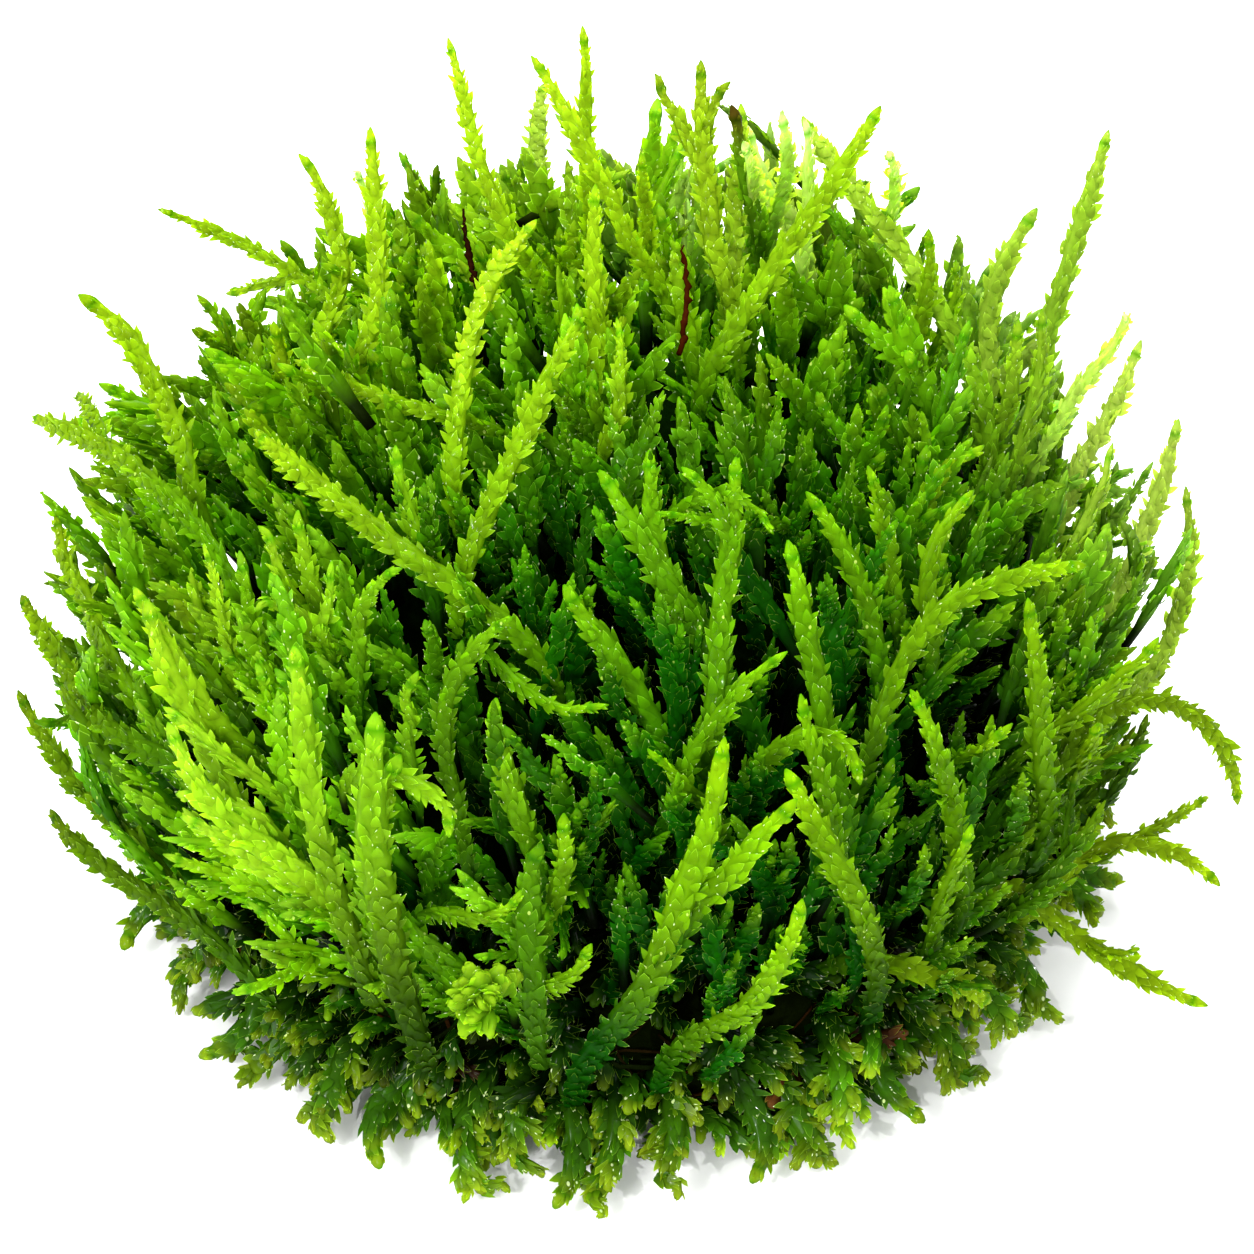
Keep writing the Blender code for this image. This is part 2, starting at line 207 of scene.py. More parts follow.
def makePiece(name, growth, material, slotName, *nodes):
    points = np.concatenate(growth["points"]) * mm
    quads = np.concatenate(growth["quads"])
    triangles = np.concatenate(growth["triangles"])
    mesh = bpy.data.meshes.new(name)
    mesh.vertices.add(len(points))
    mesh.vertices.foreach_set("co", points.astype(np.float32).ravel())
    loops = np.concatenate([quads.ravel(), triangles.ravel()]).astype(np.int32)
    quadStarts = np.arange(len(quads)) * 4
    triangleStarts = len(quads) * 4 + np.arange(len(triangles)) * 3
    mesh.loops.add(len(loops))
    mesh.loops.foreach_set("vertex_index", loops)
    mesh.polygons.add(len(quads) + len(triangles))
    mesh.polygons.foreach_set("loop_start", np.concatenate([quadStarts, triangleStarts]).astype(np.int32))
    mesh.update(calc_edges=True)
    mesh.shade_smooth()
    tone = mesh.attributes.new("tone", "FLOAT_COLOR", "POINT")
    colours = np.ones((len(points), 4), np.float32)
    colours[:, :3] = np.clip(np.concatenate(growth["tone"]), 0, 1)
    tone.data.foreach_set("color", colours.ravel())
    for key in ("edge", "shine"):
        layer = mesh.attributes.new(key, "FLOAT", "POINT")
        layer.data.foreach_set("value", np.concatenate(growth[key]).astype(np.float32))
    mesh.materials.append(material)
    piece = bpy.data.objects.new(name, mesh)
    bpy.context.scene.collection.objects.link(piece)
    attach(piece, "root")
    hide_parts(*nodes)
    pieceTriangles[name] = len(quads) * 2 + len(triangles)
    return piece


def framed(path, facing, twist=0.0, turnBack=0.25, untwisted=0.6):
    # arc length, and two directions across a path: in the plane of its leaves, and out of it.
    # From the tip down the plane keeps turning back to its facing, and a twist is nil part of the way up.
    steps = np.diff(path, axis=0)
    at = np.concatenate([[0.0], np.cumsum(np.linalg.norm(steps, axis=1))])
    steps = unit(steps)
    tangents = unit(np.vstack([steps[:1], steps[:-1] + steps[1:], steps[-1:]]))
    across = [unit(np.cross(tangents[-1], facing))]
    for tangent in tangents[-2::-1]:
        turned = across[-1] - tangent * (across[-1] @ tangent)
        across.append(unit(turned + turnBack * np.cross(tangent, facing)))
    across = np.array(across[::-1])
    across = unit(across - tangents * (across * tangents).sum(axis=1, keepdims=True))
    upward = np.cross(across, tangents)
    angle = (twist * (at / at[-1] - untwisted))[:, None]
    return at, across * np.cos(angle) + upward * np.sin(angle), upward * np.cos(angle) - across * np.sin(angle)


def lengthOf(path):
    return np.linalg.norm(np.diff(path, axis=0), axis=1).sum()


def wavy(path, draw, amount):
    # small bends, the tighter the weaker, and none at the two ends
    t = np.linspace(0, 1, len(path))[:, None]
    return path + sum(draw.normal(0, amount, 3) * np.sin(math.pi * k * t) / k ** 0.7 for k in (1, 2, 3, 5))


def along(at, values, z):
    # a path's values at lengths z
    return np.stack([np.interp(z, at, values[:, i]) for i in range(3)], axis=-1)


# one leafy shoot: two rows of leaves spread flat like a feather, more pressed on its faces, and a bud
fine = {
    "rows": (0.0, 0.3, 0.7, 1.0),           # places along a leaf
    "spread": (0.85, 1.0, 0.58, 0.0),       # its width there, of the widest
    "columns": (-1.0, -0.4, 0.4, 1.0),      # places across it
    "sides": 8,                             # of the body
    "ringStep": 0.5,
    "pitch": 1.0,                           # how far apart the leaves stand, of the usual
}
coarse = {
    "rows": (0.0, 0.34, 0.74, 1.0),
    "spread": (0.85, 1.0, 0.58, 0.0),
    "columns": (-1.0, 0.0, 1.0),
    "sides": 6,
    "ringStep": 1.0,
    "pitch": 1.05,
}
plain = {
    "rows": (0.0, 0.45, 1.0),
    "spread": (0.85, 1.0, 0.0),
    "columns": (-1.0, 0.0, 1.0),
    "sides": 5,
    "ringStep": 1.5,
    "pitch": 1.3,
}
leafLayers = {"side": 0.3, "face": 1.0, "back": -1.0}   # where each row sits, from the middle to the faces
habit = {
    "sidePitch": 0.30,                      # from one leaf of the two side rows to the next
    "facePitch": 0.46,                      # and on the face that looks outward
    "backPitch": 1.1,
    "pitchJitter": 0.4,
    "fewest": 3,                            # leaves in a row
    "lastLeaf": 0.2,                        # no leaf starts nearer the tip
    "leafLength": 0.78,
    "leafWidth": 0.48,
    "leafUneven": 0.16,
    "leafGrowth": 0.4,                      # how much larger the leaves of a broad shoot are
    "usualWidth": 2.0,                      # of a shoot
    "sizeSpan": (0.5, 1.3),
    "turnOut": (14, 50),                    # degrees between a side leaf and the stem
    "faceTurn": (-26, 26),
    "turnToTip": (0.22, 0.78),              # at the tip of the shoot, and how much more below its bud
    "sizeToTip": (0.42, 0.58),
    "pastTip": 0.05,
    "sideStart": 0.6,                       # where a leaf leaves the body, of its half width
    "faceStart": 0.32,
    "faceGap": 0.03,
    "roll": 0.55,                           # radians the side leaves turn round the stem, either way
    "sideRise": 0.05,
    "sideLift": 0.12,                       # how unevenly the side leaves leave the plane
    "faceLift": (0.0, 0.12),
    "cup": (-0.03, 0.06),
    "curve": 0.08,                          # the points of the leaves bend outward
    "body": 0.60,                           # half width of the body, of the shoot's
    "flat": 0.62,                           # thickness of the body, of its width
    "bodyUneven": 0.03,
    "bodyTone": 0.84,                       # of the leaves' tone
    "budLength": 4.2,                       # over which the shoot narrows to its point
    "budAt": (0.0, 0.04, 0.1, 0.19, 0.29, 0.38, 0.52, 0.8, 1.0),
    "budForm": (0.0, 0.24, 0.46, 0.62, 0.63, 0.54, 0.64, 0.88, 1.0),
    "budRings": (1.9, 1.4, 0.95, 0.6, 0.3, 0.08),       # their distances from the tip
    "evenRings": 2.3,                       # and how far from it the evenly spaced ones end
    "ringGap": 0.1,
    "shortest": 0.5,
    "footWidth": 0.78,
    "footLength": 0.4,
    "bareLength": 3.0,                      # of brown stem that is made below the leaves
    "bareFrom": 0.5,                        # below the lowest leaf, where it turns thin
    "bareWidth": 0.16,                      # half, of the shoot's width
    "bareTone": "#0a0c03",
    "bareFade": (0.5, -2.0),                # above and below the lowest leaf
    "segment": 1.9,                         # the body swells and narrows this often
    "segmentDepth": 0.08,
    "spotPlaces": (0.0, 0.95),              # the dark point of the bud and the dark dot below it
    "spotSizes": (0.25, 0.18),
    "spotDepth": 0.5,
    "spotLoss": np.array((1.3, 0.7, 1.8)),  # of red, green and blue
    "leafJitter": 0.10,                     # from the light of one leaf to the next
    "leafLight": (0.74, 0.34),              # painted shade at a leaf's foot, under the leaves that overlap it, and how much more light at its point
    "midAt": 3.0,                           # tip colour has turned to the middle colour here
    "footAt": 12.0,
    "sway": 0.12,
    "twist": 0.4,
}
outlook = {
    "turnAt": (27.0, 15.0),                 # y where the leaves' faces start to turn forward, and have turned
    "lessOutward": 0.4,
    "forward": -0.8,
    "up": 0.4,
    "toFront": np.array((0.0, -0.74, 0.67)),            # long shoots show their flat side there
    "jitter": 0.22,
}
sunken = {
    "fade": 9.0,                            # below the depth that daylight reaches
    "loss": np.array((0.985, 0.94, 1.0)),   # of red, green and blue
    "earlyFrom": 0.3,                       # of that depth, where red and blue start to go
    "earlyFade": 3.0,                       # and how far below it they have gone
    "earlyLoss": np.array((0.45, 0.0, 0.45)),
}


def leafFaces(shape):
    rows, columns = len(shape["rows"]) - 1, len(shape["columns"])
    grid = np.arange(rows * columns).reshape(rows, columns)
    quads = np.stack([grid[:-1, :-1], grid[:-1, 1:], grid[1:, 1:], grid[1:, :-1]], axis=-1).reshape(-1, 4)
    last = grid[-1]
    tip = np.full(columns - 1, rows * columns)
    return quads, np.stack([last[:-1], last[1:], tip], axis=-1)


def shootTone(look, tones, toTip):
    # tip, middle and foot colours along a shoot, and the dark dot in its bud; the darkening toward the foot is
    # partly the older stem's own colour and partly painted shade deep in the clump
    u = smooth(0.0, look["midAt"], toTip)[..., None]
    v = smooth(look["midAt"], look["footAt"], toTip)[..., None]
    tone = tones[0] * (1 - u) + tones[1] * u
    tone = tone * (1 - v) + tones[2] * v
    for place, size in zip(look["spotPlaces"], look["spotSizes"]):
        spot = look["spotDepth"] * np.exp(-(((toTip - place) / size) ** 2))[..., None]
        tone = tone * (1 - spot * look["spotLoss"])
    return tone


def sunkShade(points, clear):
    # red and blue go first with depth, then green
    deep = depthBelow(points)
    depth = smooth(clear, clear + sunken["fade"], deep)[..., None]
    early = smooth(clear * sunken["earlyFrom"], clear + sunken["earlyFade"], deep)[..., None]
    return (1 - depth * sunken["loss"]) * (1 - early * sunken["earlyLoss"])


def bodyRadius(look, width, total, bare, z):
    toTip = np.interp((total - z) / look["budLength"], look["budAt"], look["budForm"])
    fromFoot = np.clip((z - bare) / (look["footLength"] * total), 0, 1)
    foot = look["footWidth"] + (1 - look["footWidth"]) * fromFoot
    swell = 1 - look["segmentDepth"] * np.cos(2 * math.pi * (total - z) / look["segment"])
    return width / 2 * look["body"] * toTip * foot * swell


def leafSeats(look, pitch, size, total, bare, draw):
    # for each leaf: where it starts, its side, its angle, its layer and how it leaves the plane
    seats = []
    for name, layer in leafLayers.items():
        step = look[name + "Pitch"] * size * pitch
        count = max(look["fewest"], int((total - bare - look["lastLeaf"]) / step))
        jitter = draw.uniform(-look["pitchJitter"], look["pitchJitter"], count)
        base = bare + (np.arange(count) + jitter) * step
        side = np.where(np.arange(count) % 2, 1.0, -1.0)
        if name == "side":
            angle = draw.uniform(*look["turnOut"], count)
            lift = draw.normal(look["sideRise"], look["sideLift"], count)
        else:
            angle = draw.uniform(*look["faceTurn"], count)
            lift = draw.uniform(*look["faceLift"], count) * layer
        seats.append(np.stack([base, side, np.radians(angle), np.full(count, layer), lift]))
    return np.concatenate(seats, axis=1)


def facingAt(point):
    # outward and up at the back, more and more to the front at the front
    level = (point - cushionCentre) * (1, 1, 0) / cushionHalf[0]
    inFront = smooth(*outlook["turnAt"], point[1])
    turned = np.array((0.0, outlook["forward"] * inFront, outlook["up"]))
    return level * (1 - outlook["lessOutward"] * inFront) + turned


def addShoot(growth, path, width, tones, draw, shape=fine, bare=0.0, clear=None, toFront=0.0, **changes):
    # it has no leaves over its first bare mm, and clear is how deep daylight reaches round it
    look = {**habit, **changes}
    clear = roomAt(path[-1])[0] if clear is None else clear
    path = wavy(path, draw, look["sway"])
    facing = facingAt(path[-1]) + outlook["toFront"] * toFront + draw.normal(0, outlook["jitter"], 3)
    frameOfPath = framed(path, facing, draw.normal(0, look["twist"]))
    shoot = (path, frameOfPath, width, tones, look, shape, bare, clear)
    addLeaves(growth, *shoot, draw)
    addBody(growth, *shoot, draw)


def addLeaves(growth, path, frameOfPath, width, tones, look, shape, bare, clear, draw):
    at, across, upward = frameOfPath
    total = at[-1]
    size = np.clip(width / look["usualWidth"], *look["sizeSpan"]) ** look["leafGrowth"]
    base, side, angle, layer, lift = leafSeats(look, shape["pitch"], size, total, bare, draw)
    base = base.clip(0.0, total - look["lastLeaf"])
    count = len(base)
    toTip = total - base
    near = smooth(0.0, look["budLength"], toTip)
    angle = angle * rising(look["turnToTip"], near)
    sizes = size * rising(look["sizeToTip"], near)
    length = look["leafLength"] * sizes * (1 + draw.normal(0, look["leafUneven"], count))
    length = np.minimum(length, (toTip + look["pastTip"]) / np.cos(angle))
    widest = look["leafWidth"] / 2 * sizes * (1 + draw.normal(0, look["leafUneven"], count))

    rows = np.array(shape["rows"])[None, :, None]
    columns = np.array(shape["columns"])[None, None, :]
    half = widest[:, None, None] * np.array(shape["spread"])[None, :, None]
    parts = (base, side, angle, layer, lift, length)
    base, side, angle, layer, lift, length = (part[:, None, None] for part in parts)
    onSide = layer == leafLayers["side"]
    z = base + rows * length * np.cos(angle) - side * columns * half * np.sin(angle)
    z = z.clip(0.0, total)
    body = bodyRadius(look, width, total, bare, z)
    start = body * np.where(onSide, look["sideStart"], look["faceStart"])
    out = side * (start + rows * length * np.sin(angle) + look["curve"] * rows ** 2)
    out = out + columns * half * np.cos(angle)
    cup = draw.uniform(*look["cup"], count)[:, None, None]
    high = body * look["flat"] * layer + look["faceGap"] * layer + lift * rows - cup * columns ** 2
    roll = draw.normal(0, look["roll"], count)[:, None, None] * onSide
    flatways = out * np.cos(roll) - high * np.sin(roll)
    outOfPlane = out * np.sin(roll) + high * np.cos(roll)
    points = along(at, path, z) + flatways[..., None] * along(at, across, z)
    points = points + outOfPlane[..., None] * along(at, upward, z)

    # painted shade: a leaf darker at its foot and lighter to its point, times a random tone from leaf to leaf
    light = np.exp(draw.normal(0, look["leafJitter"], (count, 1, 1))) * rising(look["leafLight"], rows)
    tone = shootTone(look, tones, total - z) * light[..., None] * sunkShade(points, clear)
    # painted rim highlight: a thin paler margin on most leaves
    rim = draw.uniform(0.0, 1.0, (count, 1, 1)) < leafLook["rimShare"]
    edge = np.abs(columns) * smooth(*leafLook["rimStart"], rows) * rim
    # painted glint: a pale speck at one point of the edge of some leaves
    shine = np.zeros((count, rows.size, columns.size))
    where = draw.integers(1, rows.size, count)
    beside = np.where(where == rows.size - 1, 0, draw.choice((0, columns.size - 1), count))
    shine[np.arange(count), where, beside] = draw.uniform(0, 1, count) < leafLook["shineShare"]

    keep = (rows.size - 1) * columns.size + 1           # a leaf's last row is one point
    quads, triangles = leafFaces(shape)
    offset = (np.arange(count) * keep)[:, None, None]
    addFaces(growth, points.reshape(count, -1, 3)[:, :keep], tone.reshape(count, -1, 3)[:, :keep],
             edge.reshape(count, -1)[:, :keep], shine.reshape(count, -1)[:, :keep],
             quads + offset, triangles + offset)


def addBody(growth, path, frameOfPath, width, tones, look, shape, bare, clear, draw):
    # the body under the leaves, bare and brown below them
    at, first, second = frameOfPath
    total = at[-1]
    bud = total - np.array(look["budRings"])
    lowest = max(0.0, bare - look["bareLength"])
    even = np.arange(lowest, max(total - look["evenRings"], look["shortest"]), shape["ringStep"])
    z = np.concatenate([even, bud[bud > even[-1] + look["ringGap"]]])
    turn = np.arange(shape["sides"]) * 2 * math.pi / shape["sides"]
    radius = bodyRadius(look, width, total, bare, z)
    radius = np.where(z < bare - look["bareFrom"], width * look["bareWidth"], radius)
    radius = radius * (1 + draw.normal(0, look["bodyUneven"], len(z)))
    ring = np.cos(turn)[:, None] * along(at, first, z)[:, None]
    ring = ring + look["flat"] * np.sin(turn)[:, None] * along(at, second, z)[:, None]
    points = along(at, path, z)[:, None] + radius[:, None, None] * ring
    brown = smooth(*look["bareFade"], z - bare)[:, None] * (bare > 0)
    tone = shootTone(look, tones, total - z) * look["bodyTone"]
    tone = tone * (1 - brown) + linear(look["bareTone"]) * brown
    addRings(growth, points, tone[:, None, :] * sunkShade(points, clear))


def addRings(growth, points, tone):
    # a closed tube from rings of points
    rings, sides = points.shape[:2]
    grid = np.arange(rings * sides).reshape(rings, sides)
    turned = np.roll(grid, -1, axis=1)
    quads = np.stack([grid[:-1], turned[:-1], turned[1:], grid[1:]], axis=-1)
    caps = [(end[0], end[i], end[i + 1]) for end in (grid[0][::-1], grid[-1]) for i in range(1, sides - 1)]
    none = np.zeros((rings, sides))
    addFaces(growth, points, tone, none, none, quads, np.array(caps))


# materials
leafLook = {
    "rimShare": 0.7,                        # of the leaves have a painted rim highlight, a thin paler edge where light comes through
    "rimStart": (0.1, 0.4),                 # along a leaf, where that edge begins
    "rimFrom": 0.80,                        # across it, from the middle to the margin
    "rimStrength": 1.0,
    "rimGain": (1.6, 1.5, 1.0),
    "pale": (0.16, 0.26, 0.03),             # linear, added there as painted rim highlight
    "shineShare": 0.55,                     # of the leaves hold a painted glint, a pale speck at their edge
    "shineFrom": (0.66, 0.86),
    "shineTone": "#f2ffc8",
    "glintEvery": 0.60,                      # painted glints, pale dots for light caught in tiny drops of water, of all sizes up to the one given
    "glintScale": (1.0, 1.0, 0.6),           # stretched up and down a little
    "glintEdge": (-0.01, 0.03),
    "darkest": 0.01,                        # no painted glint shows where the leaf is darker
    "mottleSize": 0.8,
    "mottleFrom": (0.3, 0.7),
    "mottle": (0.82, 1.18),
    "grainSize": 0.16,                      # real leaf cells are under 0.1 mm, drawn coarser to show
    "grainHeight": 0.02,
    "grainStrength": 0.7,
    "through": 0.46,                        # share of light that passes the leaf
    "throughTint": "#ecff10",
    "throughGain": 1.5,
    "ior": 1.38,
    "specular": 0.02,
    "waterIor": 1.33,
}
leafFinishes = {
    # roughness, film of water and its roughness, largest painted glint dot, its tone, green from which it shows
    # fully
    "damp_moss_leaf": (0.5, 0.06, 0.08, 0.085, "#b4cc5c", 0.22),     # soft sheen, few small painted glints
    "wet_moss_leaf": (0.4, 0.3, 0.08, 0.115, "#ccdc9c", 0.06),       # glossy, with many painted glints in the shade
}
matterFinishes = {
    # dark and light tone, size and height of the patches, roughness
    "matted_moss_litter": ("#010300", "#0a1002", 1.2, 0.25, 0.8),    # a dark crumbly ground
    "dead_moss_and_shade": ("#000200", "#040a02", 1.0, 0.3, 0.9),         # painted shade: all but black between the shoots
    "dead_stem_bark": ("#080301", "#2a1006", 0.5, 0.08, 0.7),        # thin red-brown threads
}
matterLook = {"detail": 5.0, "grit": 0.62, "patchFrom": (0.35, 0.68), "toneShare": 0.5, "bump": 0.8, "ior": 1.4}


def addNode(tree, kind, settings=None, links=None):
    # a node with its settings, and what feeds its inputs
    node = tree.nodes.new(kind)
    for name, value in (settings or {}).items():
        if isinstance(name, str) and hasattr(node, name):
            setattr(node, name, value)
        else:
            node.inputs[name].default_value = value
    for name, source in (links or {}).items():
        tree.links.new(source, node.inputs[name])
    return node


def rgba(colour):
    return (*linear(colour), 1.0)


def newMaterial(name):
    material = bpy.data.materials.new(name)
    material.use_nodes = True
    material.node_tree.nodes.clear()
    return material, material.node_tree


def makeLeaf(name):
    # wet one-cell-thick moss leaf: light passes it, a film of water gives it small hard glints, and painted rim
    # highlights and painted glints are drawn into its colour
    roughness, film, filmRoughness, glintSize, glintTone, shownFrom = leafFinishes[name]
    material, tree = newMaterial(name)
    tone, edge, shine = (addNode(tree, "ShaderNodeAttribute", {"attribute_name": layer})
                         for layer in ("tone", "edge", "shine"))
    place = addNode(tree, "ShaderNodeTexCoord")
    mottle = addNode(tree, "ShaderNodeTexNoise", {"Scale": 1 / (leafLook["mottleSize"] * mm), "Detail": 2.0},
                     {"Vector": place.outputs["Object"]})
    level = addNode(tree, "ShaderNodeMapRange", dict(enumerate(leafLook["mottleFrom"] + leafLook["mottle"], 1)),
                    {0: mottle.outputs["Fac"]})
    varied = addNode(tree, "ShaderNodeVectorMath", {"operation": "SCALE"},
                     {0: tone.outputs["Color"], "Scale": level.outputs[0]})
    # painted rim highlight: the margin is lifted and paled
    rimMask = addNode(tree, "ShaderNodeMapRange", {1: leafLook["rimFrom"], 2: 1.0, 4: leafLook["rimStrength"]},
                     {0: edge.outputs["Fac"]})
    lift = addNode(tree, "ShaderNodeVectorMath",
                   {"operation": "MULTIPLY_ADD", 1: leafLook["rimGain"], 2: leafLook["pale"]},
                   {0: varied.outputs[0]})
    edged = addNode(tree, "ShaderNodeMix", {"data_type": "RGBA"},
                    {0: rimMask.outputs[0], 6: varied.outputs[0], 7: lift.outputs[0]})
    # painted glints: pale dots drawn into the colour for light caught in water drops, hidden where the leaf is
    # dark
    glintPlace = addNode(tree, "ShaderNodeVectorMath", {"operation": "MULTIPLY", 1: leafLook["glintScale"]},
                    {0: place.outputs["Object"]})
    glintCells = addNode(tree, "ShaderNodeTexVoronoi", {"Scale": 1 / (leafLook["glintEvery"] * mm)},
                    {"Vector": glintPlace.outputs[0]})
    glintDraw = addNode(tree, "ShaderNodeSeparateXYZ", {}, {0: glintCells.outputs["Color"]})
    biggest = addNode(tree, "ShaderNodeMath", {"operation": "MULTIPLY", 1: glintSize / leafLook["glintEvery"]},
                      {0: glintDraw.outputs[0]})
    inside = addNode(tree, "ShaderNodeMath", {"operation": "SUBTRACT"},
                     {0: biggest.outputs[0], 1: glintCells.outputs["Distance"]})
    inGlint = addNode(tree, "ShaderNodeMapRange", dict(enumerate(leafLook["glintEdge"], 1)),
                     {0: inside.outputs[0]})
    toneParts = addNode(tree, "ShaderNodeSeparateXYZ", {}, {0: tone.outputs["Color"]})
    shown = addNode(tree, "ShaderNodeMapRange", {1: leafLook["darkest"], 2: shownFrom},
                    {0: toneParts.outputs[1]})
    glintMask = addNode(tree, "ShaderNodeMath", {"operation": "MULTIPLY"},
                  {0: inGlint.outputs[0], 1: shown.outputs[0]})
    glinted = addNode(tree, "ShaderNodeMix", {"data_type": "RGBA", 7: rgba(glintTone)},
                     {0: glintMask.outputs[0], 6: edged.outputs[2]})
    # painted glint: the pale speck at a leaf's edge, shown only where the leaf is light enough
    speck = addNode(tree, "ShaderNodeMapRange", dict(enumerate(leafLook["shineFrom"], 1)),
                    {0: shine.outputs["Fac"]})
    lit = addNode(tree, "ShaderNodeMath", {"operation": "MULTIPLY"}, {0: speck.outputs[0], 1: shown.outputs[0]})
    body = addNode(tree, "ShaderNodeMix", {"data_type": "RGBA", 7: rgba(leafLook["shineTone"])},
                   {0: lit.outputs[0], 6: glinted.outputs[2]})
    grain = addNode(tree, "ShaderNodeTexNoise", {"Scale": 1 / (leafLook["grainSize"] * mm), "Detail": 1.0},
                    {"Vector": place.outputs["Object"]})
    bump = addNode(tree, "ShaderNodeBump",
                   {"Strength": leafLook["grainStrength"], "Distance": leafLook["grainHeight"] * mm},
                   {"Height": grain.outputs["Fac"]})
    surface = addNode(tree, "ShaderNodeBsdfPrincipled",
                      {"Roughness": roughness, "IOR": leafLook["ior"],
                       "Specular IOR Level": leafLook["specular"], "Coat Weight": film,
                       "Coat Roughness": filmRoughness, "Coat IOR": leafLook["waterIor"]},
                      {"Base Color": body.outputs[2], "Normal": bump.outputs["Normal"]})
    tinted = addNode(tree, "ShaderNodeMix", {"data_type": "RGBA", "blend_type": "MULTIPLY", 0: 1.0,
                                             7: rgba(leafLook["throughTint"])}, {6: body.outputs[2]})
    brighter = addNode(tree, "ShaderNodeVectorMath", {"operation": "SCALE", "Scale": leafLook["throughGain"]},
                       {0: tinted.outputs[2]})
    passing = addNode(tree, "ShaderNodeBsdfTranslucent", {}, {"Color": brighter.outputs[0]})
    both = addNode(tree, "ShaderNodeMixShader", {0: leafLook["through"]},
                   {1: surface.outputs[0], 2: passing.outputs[0]})
    addNode(tree, "ShaderNodeOutputMaterial", {}, {"Surface": both.outputs[0]})
    return material


def makeMatter(name):
    # rotted stems and leaf litter: dark and mottled, and dull with no gloss at all
    dark, light, size, height, roughness = matterFinishes[name]
    material, tree = newMaterial(name)
    tone = addNode(tree, "ShaderNodeAttribute", {"attribute_name": "tone"})
    place = addNode(tree, "ShaderNodeTexCoord")
    patches = addNode(tree, "ShaderNodeTexNoise",
                      {"Scale": 1 / (size * mm), "Detail": matterLook["detail"],
                       "Roughness": matterLook["grit"]}, {"Vector": place.outputs["Object"]})
    ramp = addNode(tree, "ShaderNodeMapRange", dict(enumerate(matterLook["patchFrom"], 1)),
                   {0: patches.outputs["Fac"]})
    mixed = addNode(tree, "ShaderNodeMix", {"data_type": "RGBA", 6: rgba(dark), 7: rgba(light)},
                    {0: ramp.outputs[0]})
    coloured = addNode(tree, "ShaderNodeMix", {"data_type": "RGBA", 0: matterLook["toneShare"]},
                       {6: mixed.outputs[2], 7: tone.outputs["Color"]})
    bump = addNode(tree, "ShaderNodeBump", {"Strength": matterLook["bump"], "Distance": height * mm},
                   {"Height": patches.outputs["Fac"]})
    surface = addNode(tree, "ShaderNodeBsdfPrincipled",
                      {"Roughness": roughness, "IOR": matterLook["ior"], "Specular IOR Level": 0.0},
                      {"Base Color": coloured.outputs[2], "Normal": bump.outputs["Normal"]})
    addNode(tree, "ShaderNodeOutputMaterial", {}, {"Surface": surface.outputs[0]})
    return material


dryLeaf, wetLeaf = (makeLeaf(name) for name in leafFinishes)
litter, shade, bark = (makeMatter(name) for name in matterFinishes)
print("materials made")


# the long shoots

